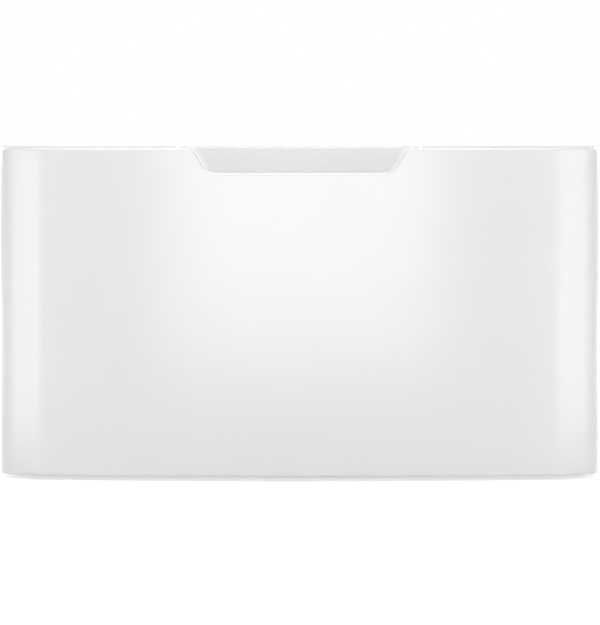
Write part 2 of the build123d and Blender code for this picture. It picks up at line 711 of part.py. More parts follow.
def slide_slots(u0, u1, count):
    """Slots punched along a member's web, between its fixing points."""
    slots = []
    for i in range(count):
        y = Y_SLIDE + SLIDE_LENGTH / 2 + (i - (count - 1) / 2) * SLIDE_SLOT_PITCH
        slot = SlotOverall(SLIDE_SLOT_LENGTH, 2 * SLIDE_SLOT_R)
        plane = Plane((X_SLIDE - u0, y, SLIDE_Z), x_dir=(0, 1, 0), z_dir=(-1, 0, 0))
        slots.append(extrude(plane * slot, u1 - u0))
    return slots


def slide_cabinet_member():
    """Outer member: a channel with turned-in lips, riveted to its bracket."""
    w = SLIDE_HEIGHT / 2 - SLIDE_SHEET / 2
    u = SLIDE_SHEET / 2
    section = slide_section(
        [
            (OUTER_EDGE_U, w - SLIDE_LIP),
            (OUTER_EDGE_U, w),
            (u, w),
            (u, -w),
            (OUTER_EDGE_U, -w),
            (OUTER_EDGE_U, SLIDE_LIP - w),
        ],
        SLIDE_SHEET,
    )
    member = slide_run(section, Y_SLIDE, SLIDE_LENGTH)
    for slot in slide_slots(0, SLIDE_SHEET, OUTER_SLOTS):
        member -= slot
    for y in slide_screw_ys():
        member -= rod(RIVET_R, (X_SLIDE, y, SLIDE_Z), (X_SLIDE - SLIDE_SHEET, y, SLIDE_Z))
    return member


def slide_middle_member():
    """Middle member: a channel that runs on the outer balls and carries the inner ones."""
    w = MIDDLE_FACE - SLIDE_SHEET / 2
    u = OUTER_EDGE_U - SLIDE_SHEET
    section = slide_section([(u, w), (MIDDLE_U, w), (MIDDLE_U, -w), (u, -w)], SLIDE_SHEET)
    member = slide_run(section, Y_SLIDE, SLIDE_LENGTH)
    for slot in slide_slots(MIDDLE_U - SLIDE_SHEET, MIDDLE_U + SLIDE_SHEET, MIDDLE_SLOTS):
        member -= slot
    return member


def slide_drawer_member():
    """Inner member: a channel that faces the other way, screwed to the drawer's side."""
    w = INNER_FACE - SLIDE_SHEET / 2
    u = INNER_EDGE_U
    section = slide_section([(u, w), (INNER_U, w), (INNER_U, -w), (u, -w)], SLIDE_SHEET)
    member = slide_run(section, Y_SLIDE, SLIDE_LENGTH)
    for y in slide_screw_ys():
        member -= rod(SCREW_R + SCREW_PLAY, (X_BOX, y, SLIDE_Z), (X_BOX + SLIDE_SHEET, y, SLIDE_Z))
    member -= rod(LEVER_PIN_R, (X_BOX, Y_LEVER, SLIDE_Z), (X_BOX + SLIDE_SHEET, Y_LEVER, SLIDE_Z))
    return member


def ball_places(ball_u, ball_w):
    """Centres of the balls in the right slide's upper and lower rows."""
    return [
        (X_SLIDE - ball_u, Y_CAGE + CAGE_END + i * BALL_PITCH, SLIDE_Z + side * ball_w)
        for side in (1, -1)
        for i in range(BALLS_PER_ROW)
    ]


def ball_cage(web_u, ball_u, ball_w, ball_r):
    """Retainer of two rows of balls: a thin channel with a hole for each ball."""
    edge = ball_u + ball_r + CAGE_SHEET / 2
    section = folded(
        [(edge, ball_w), (web_u, ball_w), (web_u, -ball_w), (edge, -ball_w)], CAGE_SHEET, 2 * CAGE_SHEET
    )
    cage = slide_run(section, Y_CAGE, CAGE_LENGTH)
    for place in ball_places(ball_u, ball_w):
        x, y, z = place
        cage -= rod(ball_r + BALL_PLAY, (x, y, z - CAGE_SHEET), (x, y, z + CAGE_SHEET))
    return cage


def balls(ball_u, ball_w, ball_r):
    """The steel balls of one retainer."""
    return group([Pos(*place) * Sphere(ball_r) for place in ball_places(ball_u, ball_w)])


def slide_rivets():
    """Rivets through the bracket and the slide's back, flush inside the slide."""
    rivets = []
    for y in slide_screw_ys():
        seat = (X_SLIDE + BRACKET_SHEET, y, SLIDE_Z)
        rivets.append(
            pan_screw(
                seat, (-1, 0, 0), BRACKET_SHEET + SLIDE_SHEET, RIVET_R, RIVET_HEAD_R, RIVET_HEAD_H
            )
        )
    return group(both_sides(rivets))


def slide_screws():
    """Screws from the slides' inner members into the drawer's sides."""
    head = X_BOX + SLIDE_SHEET
    length = SLIDE_SHEET + DRAWER_SHEET
    screws = [pan_screw((head, y, SLIDE_Z), (-1, 0, 0), length) for y in slide_screw_ys()]
    return group(both_sides(screws))


def release_lever():
    """Lever in the inner member that frees the drawer: a hub and a tapering arm."""
    hub = Circle(LEVER_HUB_R)
    tip = Pos(-LEVER_LENGTH, 0) * Circle(LEVER_TIP_R)
    arm = polygon(
        (0, LEVER_HUB_R * LEVER_NECK),
        (-LEVER_LENGTH, LEVER_TIP_R),
        (-LEVER_LENGTH, -LEVER_TIP_R),
        (0, -LEVER_HUB_R * LEVER_NECK),
    )
    section = hub + tip + arm - Circle(LEVER_PIN_R + LEVER_PLAY)
    x0 = X_BOX + SLIDE_SHEET + LEVER_PLAY
    return Pos(0, Y_LEVER, SLIDE_Z) * along_x(section, x0, x0 + LEVER_THICK)


def lever_pin():
    """Headed pin of a release lever, riveted into the inner member."""
    head = (X_BOX + SLIDE_SHEET + LEVER_THICK + 2 * LEVER_PLAY, Y_LEVER, SLIDE_Z)
    length = SLIDE_SHEET + LEVER_THICK + 2 * LEVER_PLAY
    return pan_screw(head, (-1, 0, 0), length, LEVER_PIN_R, LEVER_PIN_R * 2, SLIDE_SHEET)


# Drawer box


def box_screw_places():
    """Screws that hold the drawer box to the liner, as (x, z)."""
    x = X_BOX - DRAWER_FLANGE / 2 - DRAWER_SHEET
    low = DRAWER_FLOOR_Z + BOX_SCREW_INSET
    high = Z_BOX_TOP - BOX_SCREW_INSET
    return [(side * x, z) for side in (1, -1) for z in (low, (low + high) / 2, high)]


def drawer_side():
    """Right side of the box: a ledge under the floor, a rolled upper edge and a flange against the liner."""
    x = X_BOX - DRAWER_SHEET / 2
    z0 = DRAWER_FLOOR_Z - DRAWER_SHEET / 2
    z1 = Z_BOX_TOP - DRAWER_SHEET / 2
    y = Y_FRONT_BACK + DRAWER_SHEET / 2
    relief = DRAWER_BEND_R + DRAWER_SHEET / 2
    section = folded(
        [
            (x - FLOOR_LEDGE, z0),
            (x, z0),
            (x, z1),
            (x + DRAWER_ROLL, z1),
            (x + DRAWER_ROLL, z1 - DRAWER_ROLL_DROP),
        ],
        DRAWER_SHEET,
        DRAWER_BEND_R,
    )
    flange = folded([(x - DRAWER_FLANGE, y), (x, y), (x, y + 2 * relief)], DRAWER_SHEET, DRAWER_BEND_R)
    side = along_y(section, y + relief, Y_BOX_BACK)
    side += along_z(flange, z0 + relief, z1 - relief)
    for screw_x, z in box_screw_places()[:3]:
        side -= rod(
            SCREW_R + SCREW_PLAY,
            (screw_x, Y_FRONT_BACK, z),
            (screw_x, Y_FRONT_BACK + DRAWER_SHEET, z),
        )
    for screw_y in slide_screw_ys():
        side -= rod(SCREW_R + SCREW_PLAY, (X_BOX, screw_y, SLIDE_Z), (X_BOX_IN, screw_y, SLIDE_Z))
    return side


def drawer_floor():
    """Floor with pressed beads from front to back, lying on the sides' ledges."""
    half = X_BOX_IN + DRAWER_SHEET / 2 - DRAWER_BEND_R
    z = DRAWER_FLOOR_Z + DRAWER_SHEET / 2
    points = [(-half, z)]
    for i in range(BEAD_COUNT):
        middle = (i - (BEAD_COUNT - 1) / 2) * BEAD_PITCH
        foot = BEAD_WIDTH / 2
        crown = foot - BEAD_HEIGHT
        points += [
            (middle - foot, z),
            (middle - crown, z + BEAD_HEIGHT),
            (middle + crown, z + BEAD_HEIGHT),
            (middle + foot, z),
        ]
    points.append((half, z))
    section = folded(points, DRAWER_SHEET, DRAWER_SHEET)
    return along_y(section, Y_FRONT_BACK, Y_BOX_BACK - DRAWER_SHEET)


def drawer_back():
    """Back of the box: flanges inside the sides and a rolled upper edge."""
    x = X_BOX_IN - DRAWER_SHEET / 2
    y = Y_BOX_BACK - DRAWER_SHEET / 2
    z0 = DRAWER_FLOOR_Z
    z1 = Z_BOX_TOP - DRAWER_SHEET / 2
    relief = DRAWER_BEND_R + DRAWER_SHEET / 2
    plan = folded(
        [(x, y - DRAWER_FLANGE), (x, y), (-x, y), (-x, y - DRAWER_FLANGE)], DRAWER_SHEET, DRAWER_BEND_R
    )
    roll = folded(
        [(y, z0), (y, z1), (y + DRAWER_ROLL, z1), (y + DRAWER_ROLL, z1 - DRAWER_ROLL_DROP)],
        DRAWER_SHEET,
        DRAWER_BEND_R,
    )
    back = along_z(plan, z0 + DRAWER_BEND_R, z1 - relief)
    return back + along_x(roll, relief - x, x - relief)


def liner_screws():
    """Screws from the liner into the front panel's bosses."""
    return group(
        [
            pan_screw((x, Y_FRONT_BACK, z), (0, -1, 0), SCREW_LENGTH, BOSS_BORE_R)
            for x, z in boss_places()
        ]
    )


def box_screws():
    """Screws from the drawer box's flanges into the liner."""
    head = Y_FRONT_BACK + DRAWER_SHEET
    length = DRAWER_SHEET + LINER_SHEET + LINER_PLAY
    return group([pan_screw((x, head, z), (0, -1, 0), length) for x, z in box_screw_places()])


def pieces():
    """Every node's name and shape."""
    right = {
        "side_panel": side_panel(),
        "slide_bracket": slide_bracket(),
        "slide_cabinet_member": slide_cabinet_member(),
        "slide_middle_member": slide_middle_member(),
        "slide_drawer_member": slide_drawer_member(),
        "slide_outer_cage": ball_cage(OUTER_CAGE_U, OUTER_BALL_U, OUTER_BALL_W, OUTER_BALL_R),
        "slide_inner_cage": ball_cage(INNER_CAGE_U, INNER_BALL_U, INNER_BALL_W, INNER_BALL_R),
        "slide_outer_balls": balls(OUTER_BALL_U, OUTER_BALL_W, OUTER_BALL_R),
        "slide_inner_balls": balls(INNER_BALL_U, INNER_BALL_W, INNER_BALL_R),
        "slide_release_lever": release_lever(),
        "slide_lever_pin": lever_pin(),
        "drawer_side": drawer_side(),
    }
    made = {
        "drawer_front_panel": drawer_front_panel(),
        "drawer_front_liner": drawer_front_liner(),
        "grip_insert": grip_insert(),
        "drawer_floor": drawer_floor(),
        "drawer_back": drawer_back(),
        "drawer_liner_screws": liner_screws(),
        "drawer_box_screws": box_screws(),
        "slide_screws": slide_screws(),
        "slide_rivets": slide_rivets(),
        "top_deck": top_deck(),
        "rear_panel": rear_panel(),
        "rear_panel_screws": rear_panel_screws(),
        "front_base_rail": base_rail(LEG_YS[0]),
        "rear_base_rail": base_rail(LEG_YS[1]),
        "front_deck_brace": deck_brace(-1),
        "rear_deck_brace": deck_brace(1),
        "front_bumpers": front_bumpers(),
        "leg_weld_nuts": leg_nuts(Z_WELD_NUT, Z_WELD_NUT + WELD_NUT_H),
        "leg_lock_nuts": leg_nuts(Z_RAIL - LOCK_NUT_H, Z_RAIL),
    }
    for name, shape in right.items():
        made[f"right_{name}"] = shape
        made[f"left_{name}"] = left(shape)
    for end, y in zip(("front", "rear"), LEG_YS):
        for side, x in (("left", -LEG_X), ("right", LEG_X)):
            made[f"{end}_{side}_leg_stem"] = leg_stem(x, y)
            made[f"{end}_{side}_leg_pad"] = leg_pad(x, y)
    return made


os.makedirs("parts", exist_ok=True)
for node, shape in pieces().items():
    export_step(shape, f"parts/{node}.step")
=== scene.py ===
"""Looks of the laundry pedestal: its bowed moulded front, fasteners, legs, finishes, studio and camera.

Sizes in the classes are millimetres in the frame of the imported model: X to the right, -Y to the front, Z up.
Meshes are written in metres.
"""

import logging
import math
from collections.abc import Mapping, Sequence
from dataclasses import dataclass
from enum import Enum

import bmesh
import bpy
import numpy as np
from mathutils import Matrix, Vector


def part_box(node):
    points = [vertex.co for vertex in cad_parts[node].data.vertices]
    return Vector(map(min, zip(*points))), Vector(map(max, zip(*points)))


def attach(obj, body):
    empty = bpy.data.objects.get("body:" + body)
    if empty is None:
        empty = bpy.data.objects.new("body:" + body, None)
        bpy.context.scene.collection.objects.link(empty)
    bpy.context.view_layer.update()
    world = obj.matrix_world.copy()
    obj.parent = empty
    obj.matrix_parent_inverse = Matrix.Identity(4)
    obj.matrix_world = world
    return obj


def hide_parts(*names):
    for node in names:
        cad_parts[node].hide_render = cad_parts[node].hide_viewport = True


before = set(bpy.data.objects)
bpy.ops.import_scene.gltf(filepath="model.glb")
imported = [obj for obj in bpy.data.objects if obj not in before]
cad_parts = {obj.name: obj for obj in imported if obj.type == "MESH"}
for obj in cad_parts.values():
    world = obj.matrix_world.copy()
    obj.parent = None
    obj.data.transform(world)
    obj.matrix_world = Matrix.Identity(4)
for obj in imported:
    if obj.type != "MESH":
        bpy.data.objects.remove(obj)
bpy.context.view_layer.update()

log = logging.getLogger("pedestal")

MM = 0.001
WELD_DISTANCE = 2e-6  # metres within which grid points are one vertex
IMAGE_WIDTH = 600
IMAGE_HEIGHT = 625
CREASE_DEG = 34.0  # edges that turn by more stay crisp
PATTERN_LOW, PATTERN_HIGH = 0.25, 0.75  # where the values of noise mostly lie
WHITE = (1.0, 1.0, 1.0, 1.0)


class Slot(Enum):
    """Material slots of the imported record."""

    FRONT = "moulded_front_white"
    ENAMEL = "enamelled_steel_white"
    POWDER = "powder_coated_steel_white"
    GALVANISED = "galvanised_steel"
    SLIDE = "slide_steel"
    ZINC = "zinc_plated_steel"
    BEARING = "bearing_steel"
    NYLON = "lever_nylon"
    RUBBER = "foot_rubber"
    ELASTOMER = "bumper_elastomer"


class Facing(Enum):
    """Directions that a fastener's head looks in, as the rows of the turn that takes +Z there."""

    FRONT = ((1, 0, 0), (0, 0, 1), (0, -1, 0))
    BACK = ((1, 0, 0), (0, 0, -1), (0, 1, 0))


# Finishes


def linear(code: str) -> tuple[float, float, float, float]:
    """Turns an sRGB hex colour into linear RGBA.

    Args:
        code: Six hex digits after a hash.

    Returns:
        Red, green, blue and an alpha of one, for a colour socket.
    """
    values = np.array([int(code[i : i + 2], 16) for i in (1, 3, 5)]) / 255
    low = values / 12.92
    high = ((values + 0.055) / 1.055) ** 2.4
    return (*np.where(values <= 0.04045, low, high).tolist(), 1.0)


def add_node(
    tree: bpy.types.NodeTree,
    kind: str,
    inputs: Mapping[str | int, object] | None = None,
    **settings: object,
) -> bpy.types.Node:
    """Adds a node, sets it and links it.

    Args:
        tree: The node tree.
        kind: Blender's name for the node.
        inputs: For an input's name or number, the output that feeds it or its constant.
        **settings: The node's own properties.

    Returns:
        The new node.
    """
    node = tree.nodes.new(kind)
    for name, value in settings.items():
        setattr(node, name, value)
    for name, value in (inputs or {}).items():
        if isinstance(value, bpy.types.NodeSocket):
            tree.links.new(value, node.inputs[name])
        else:
            node.inputs[name].default_value = value
    return node


@dataclass(frozen=True)
class Surface:
    """A material's node tree while a finish dresses it."""

    tree: bpy.types.NodeTree
    shader: bpy.types.Node
    where: bpy.types.NodeSocket  # object coordinates, in metres


@dataclass(frozen=True)
class Finish:
    """A surface finish: its material's name, colour and gloss, and what its making leaves on it."""

    name: str
    colour: str
    tint: str
    roughness: float
    spread: float = 0.06  # of the roughness, to each side

    def material(self) -> bpy.types.Material:
        """Makes the material once.

        Returns:
            The material with this finish's name.
        """
        found = bpy.data.materials.get(self.name)
        if found:
            return found
        made = bpy.data.materials.new(self.name)
        made.use_nodes = True
        tree = made.node_tree
        where = add_node(tree, "ShaderNodeTexCoord").outputs["Object"]
        self.dress(Surface(tree, tree.nodes["Principled BSDF"], where))
        return made

    def dress(self, on: Surface) -> None:
        """Adds what the eye sees of the finish.

        Args:
            on: The new material's surface.
        """
        raise NotImplementedError

    def lay(
        self, on: Surface, tone: bpy.types.NodeSocket, height: bpy.types.NodeSocket, depth_mm: float
    ) -> None:
        """Lets one pattern move colour and gloss, and another stand up as relief.

        The first takes the colour from colour to tint, and the roughness through its spread.

        Args:
            on: The new material's surface.
            tone: The first pattern, about 0 to 1.
            height: The second pattern, about 0 to 1.
            depth_mm: Height of the relief, in millimetres.
        """
        mixed = add_node(
            on.tree,
            "ShaderNodeMix",
            {0: tone, 6: linear(self.colour), 7: linear(self.tint)},
            data_type="RGBA",
        )
        gloss = add_node(
            on.tree,
            "ShaderNodeMapRange",
            {
                "Value": tone,
                "From Min": PATTERN_LOW,
                "From Max": PATTERN_HIGH,
                "To Min": self.roughness - self.spread,
                "To Max": self.roughness + self.spread,
            },
        )
        bump = add_node(
            on.tree, "ShaderNodeBump", {"Height": height, "Strength": 1.0, "Distance": depth_mm * MM}
        )
        on.tree.links.new(mixed.outputs[2], on.shader.inputs["Base Color"])
        on.tree.links.new(gloss.outputs["Result"], on.shader.inputs["Roughness"])
        on.tree.links.new(bump.outputs["Normal"], on.shader.inputs["Normal"])


@dataclass(frozen=True)
class GlossMoulding(Finish):
    """ABS moulded against a polished tool and lacquered: deep gloss, faint swirls where the melt flowed."""

    spread: float = 0.025
    flow_mm: float = 120.0
    flow_octaves: float = 2.0
    peel_mm: float = 5.0
    peel_octaves: float = 1.0
    peel_depth_mm: float = 0.004
    ior: float = 1.54
    lacquer: float = 1.0

    def dress(self, on: Surface) -> None:
        """Swirls move tone and gloss a little, a fine peel breaks up reflections, and lacquer adds its own.

        Args:
            on: The new material's surface.
        """
        flow = add_node(
            on.tree,
            "ShaderNodeTexNoise",
            {"Vector": on.where, "Scale": 1 / (self.flow_mm * MM), "Detail": self.flow_octaves},
        )
        peel = add_node(
            on.tree,
            "ShaderNodeTexNoise",
            {"Vector": on.where, "Scale": 1 / (self.peel_mm * MM), "Detail": self.peel_octaves},
        )
        self.lay(on, flow.outputs["Fac"], peel.outputs["Fac"], self.peel_depth_mm)
        on.shader.inputs["IOR"].default_value = self.ior
        on.shader.inputs["Coat Weight"].default_value = self.lacquer
        on.shader.inputs["Coat Roughness"].default_value = self.roughness


@dataclass(frozen=True)
class StovedEnamel(Finish):
    """Sprayed and stoved enamel on sheet steel: a glossy skin with the soft waves of orange peel."""

    spread: float = 0.025
    cloud_mm: float = 160.0
    cloud_octaves: float = 2.0
    peel_mm: float = 5.0
    peel_octaves: float = 1.5
    peel_depth_mm: float = 0.004
    ior: float = 1.52

    def dress(self, on: Surface) -> None:
        """Orange peel as relief, and broad clouds where the coat is thicker.

        Args:
            on: The new material's surface.
        """
        cloud = add_node(
            on.tree,
            "ShaderNodeTexNoise",
            {"Vector": on.where, "Scale": 1 / (self.cloud_mm * MM), "Detail": self.cloud_octaves},
        )
        peel = add_node(
            on.tree,
            "ShaderNodeTexNoise",
            {"Vector": on.where, "Scale": 1 / (self.peel_mm * MM), "Detail": self.peel_octaves},
        )
        self.lay(on, cloud.outputs["Fac"], peel.outputs["Fac"], self.peel_depth_mm)
        on.shader.inputs["IOR"].default_value = self.ior


@dataclass(frozen=True)
class PowderCoat(Finish):
    """Powder coat on sheet steel: half gloss, with a tight pebble from the melted grains."""

    pebble_mm: float = 1.6  # real pebble is about 0.5 mm, drawn coarser so that it shows
    pebble_depth_mm: float = 0.03
    pebble_softness: float = 0.6
    ior: float = 1.5

    def dress(self, on: Surface) -> None:
        """Rounded pebbles as relief, which also dull the gloss between them.

        Args:
            on: The new material's surface.
        """
        pebble = add_node(
            on.tree,
            "ShaderNodeTexVoronoi",
            {
                "Vector": on.where,
                "Scale": 1 / (self.pebble_mm * MM),
                "Smoothness": self.pebble_softness,
            },
            feature="SMOOTH_F1",
        ).outputs["Distance"]
        self.lay(on, pebble, pebble, self.pebble_depth_mm)
        on.shader.inputs["IOR"].default_value = self.ior


@dataclass(frozen=True)
class Galvanising(Finish):
    """Hot-dip galvanised sheet: crystals of zinc, each a little lighter or duller than the next."""

    spread: float = 0.09
    spangle_mm: float = 11.0
    frost_mm: float = 1.2
    frost_depth_mm: float = 0.004
    frost_share: float = 0.3
    octaves: float = 2.0

    def dress(self, on: Surface) -> None:
        """One tone and gloss for each crystal, with a fine frost over all of them.

        Args:
            on: The new material's surface.
        """
        warp = add_node(
            on.tree,
            "ShaderNodeTexNoise",
            {"Vector": on.where, "Scale": 1 / (2 * self.spangle_mm * MM), "Detail": self.octaves},
        )
        bent = add_node(
            on.tree,
            "ShaderNodeVectorMath",
            {0: warp.outputs["Color"], 1: (self.spangle_mm * MM,) * 3, 2: on.where},
            operation="MULTIPLY_ADD",
        )
        spangle = add_node(
            on.tree,
            "ShaderNodeTexVoronoi",
            {"Vector": bent.outputs["Vector"], "Scale": 1 / (self.spangle_mm * MM)},
        )
        tone = add_node(on.tree, "ShaderNodeSeparateColor", {"Color": spangle.outputs["Color"]})
        frost = add_node(
            on.tree,
            "ShaderNodeTexNoise",
            {"Vector": on.where, "Scale": 1 / (self.frost_mm * MM), "Detail": self.octaves},
        )
        both = add_node(
            on.tree,
            "ShaderNodeMix",
            {0: self.frost_share, 2: tone.outputs["Red"], 3: frost.outputs["Fac"]},
            data_type="FLOAT",
        )
        self.lay(on, both.outputs[0], frost.outputs["Fac"], self.frost_depth_mm)
        on.shader.inputs["Metallic"].default_value = 1.0


@dataclass(frozen=True)
class RolledPlate(Finish):
    """Zinc plate on cold-rolled steel: fine streaks along the length that it was rolled in."""

    spread: float = 0.08
    streak_mm: float = 0.7
    streak_length_mm: float = 90.0
    streak_octaves: float = 3.0
    streak_depth_mm: float = 0.003

    def dress(self, on: Surface) -> None:
        """Noise drawn out along Y, the direction of rolling, moves tone and gloss.

        Args:
            on: The new material's surface.
        """
        across = 1 / (self.streak_mm * MM)
        along = 1 / (self.streak_length_mm * MM)
        drawn = add_node(
            on.tree, "ShaderNodeMapping", {"Vector": on.where, "Scale": (across, along, across)}
        )
        streak = add_node(
            on.tree,
            "ShaderNodeTexNoise",
            {"Vector": drawn.outputs["Vector"], "Scale": 1.0, "Detail": self.streak_octaves},
        ).outputs["Fac"]
        self.lay(on, streak, streak, self.streak_depth_mm)
        on.shader.inputs["Metallic"].default_value = 1.0


@dataclass(frozen=True)
class BrightPlate(Finish):
    """Barrel zinc plate with a clear passivate: bright, with a thin film that shifts from blue to straw."""

    spread: float = 0.07
    film_mm: float = 3.0
    film_octaves: float = 2.0
    dint_mm: float = 0.5
    dint_octaves: float = 1.0
    dint_depth_mm: float = 0.006

    def dress(self, on: Surface) -> None:
        """The film's tint in patches, and the small dints of the barrel as relief.

        Args:
            on: The new material's surface.
        """
        film = add_node(
            on.tree,
            "ShaderNodeTexNoise",
            {"Vector": on.where, "Scale": 1 / (self.film_mm * MM), "Detail": self.film_octaves},
        )
        dint = add_node(
            on.tree,
            "ShaderNodeTexNoise",
            {"Vector": on.where, "Scale": 1 / (self.dint_mm * MM), "Detail": self.dint_octaves},
        )
        self.lay(on, film.outputs["Fac"], dint.outputs["Fac"], self.dint_depth_mm)
        on.shader.inputs["Metallic"].default_value = 1.0


@dataclass(frozen=True)
class Moulding(Finish):
    """Rubber, nylon or elastomer moulded in a sparked tool: a dull, even grain with some dust in it."""

    dust_mm: float = 9.0
    dust_octaves: float = 4.0
    grain_mm: float = 0.9  # real grain is about 0.2 mm, drawn coarser so that it shows
    grain_octaves: float = 2.0
    grain_depth_mm: float = 0.03
    glow: float = 0.0
    glow_mm: float = 1.5

    def dress(self, on: Surface) -> None:
        """Dust in soft patches over a fine grain; a soft part also lets some light in.

        Args:
            on: The new material's surface.
        """
        dust = add_node(
            on.tree,
            "ShaderNodeTexNoise",
            {"Vector": on.where, "Scale": 1 / (self.dust_mm * MM), "Detail": self.dust_octaves},
        )
        grain = add_node(
            on.tree,
            "ShaderNodeTexNoise",
            {"Vector": on.where, "Scale": 1 / (self.grain_mm * MM), "Detail": self.grain_octaves},
        )
        self.lay(on, dust.outputs["Fac"], grain.outputs["Fac"], self.grain_depth_mm)
        on.shader.inputs["Subsurface Weight"].default_value = self.glow
        on.shader.inputs["Subsurface Radius"].default_value = (self.glow_mm * MM,) * 3


FINISHES: dict[Slot, Finish] = {
    Slot.FRONT: GlossMoulding("abs_moulded_lacquered_white", "#EAEAEC", "#E6E6E8", 0.2),
    Slot.ENAMEL: StovedEnamel("steel_stoved_enamel_white", "#E6E6E7", "#E3E3E4", 0.24),
    Slot.POWDER: PowderCoat("steel_powder_coated_white", "#DEDEDE", "#E3E3E2", 0.42),
    Slot.GALVANISED: Galvanising("steel_hot_dip_galvanised", "#A9AEB1", "#C8CCCE", 0.38),
    Slot.SLIDE: RolledPlate("steel_cold_rolled_zinc_plated", "#B4B8BC", "#CBCED1", 0.33),
    Slot.ZINC: BrightPlate("steel_barrel_zinc_plated", "#C3C9D0", "#CFCBC0", 0.27),
    Slot.BEARING: BrightPlate("steel_ball_polished", "#C9CBCE", "#D6D8DA", 0.13, film_mm=1.0),
    Slot.NYLON: Moulding("nylon_moulded_black", "#222326", "#2E2F32", 0.48),
    Slot.RUBBER: Moulding("rubber_moulded_black", "#19191A", "#2B2A29", 0.72),
    Slot.ELASTOMER: Moulding("elastomer_moulded_grey", "#A9ABAD", "#B7B8B9", 0.5, glow=0.25),
}


# Meshes


def sewn(name: str, grids: Sequence[np.ndarray], crease_deg: float = CREASE_DEG) -> bpy.types.Object:
    """Sews grids of points into one object: a quad for each cell, and one vertex where points meet.

    Args:
        name: Name of the piece.
        grids: Arrays of points in millimetres, each rows by columns by 3.
        crease_deg: Edges that turn by more than this stay crisp.

    Returns:
        The object, at the origin, with its faces turned outwards.
    """
    cells = []
    start = 0
    for grid in grids:
        rows, columns = grid.shape[:2]
        index = np.arange(rows * columns).reshape(rows, columns) + start
        quads = np.stack([index[:-1, :-1], index[:-1, 1:], index[1:, 1:], index[1:, :-1]], axis=-1)
        cells.append(quads.reshape(-1, 4))
        start += rows * columns
    points = np.concatenate([grid.reshape(-1, 3) for grid in grids]) * MM
    mesh = bpy.data.meshes.new(name)
    mesh.from_pydata(points.tolist(), [], np.concatenate(cells).tolist())
    shell = bmesh.new()
    shell.from_mesh(mesh)
    bmesh.ops.remove_doubles(shell, verts=shell.verts, dist=WELD_DISTANCE)
    bmesh.ops.dissolve_degenerate(shell, edges=shell.edges, dist=WELD_DISTANCE / 4)
    bmesh.ops.recalc_face_normals(shell, faces=shell.faces)
    shell.to_mesh(mesh)
    shell.free()
    mesh.shade_smooth()
    mesh.set_sharp_from_angle(angle=math.radians(crease_deg))
    piece = bpy.data.objects.new(name, mesh)
    bpy.context.scene.collection.objects.link(piece)
    return piece


def turned(profile: np.ndarray, segments: int) -> np.ndarray:
    """Turns a profile about the Z axis: each (r, z) becomes a ring of points.

    Args:
        profile: Radius and height of each row, in millimetres.
        segments: Points round the axis.

    Returns:
        A grid of rows by segments + 1 by 3 whose last column lies on its first.
    """
    angle = np.linspace(0, 2 * np.pi, segments + 1)
    radius = profile[:, :1]
    height = np.broadcast_to(profile[:, 1:2], (len(profile), segments + 1))
    return np.stack([radius * np.cos(angle), radius * np.sin(angle), height], axis=-1)


def placed(grid: np.ndarray, seat: tuple[float, float, float], facing: Facing) -> np.ndarray:
    """Turns a grid's +Z to a direction and moves its origin to a seat.

    Args:
        grid: Points in millimetres.
        seat: Where the grid's origin goes, in millimetres.
        facing: Where its +Z goes.

    Returns:
        The moved grid.
    """
    return grid @ np.array(facing.value, float) + np.array(seat)


def fit(piece: bpy.types.Object, body: str, slot: Slot, *nodes: str) -> None:
    """Gives a piece its finish and its body, and lets it stand for CAD nodes.

    Args:
        piece: The new piece.
        body: The body that it moves with.
        slot: The record's slot for its finish.
        *nodes: The CAD nodes that it replaces.
    """
    piece.data.materials.append(FINISHES[slot].material())
    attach(piece, body)
    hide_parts(*nodes)
    log.info("%s rides on %s with %d faces", piece.name, body, len(piece.data.polygons))


# Drawer front


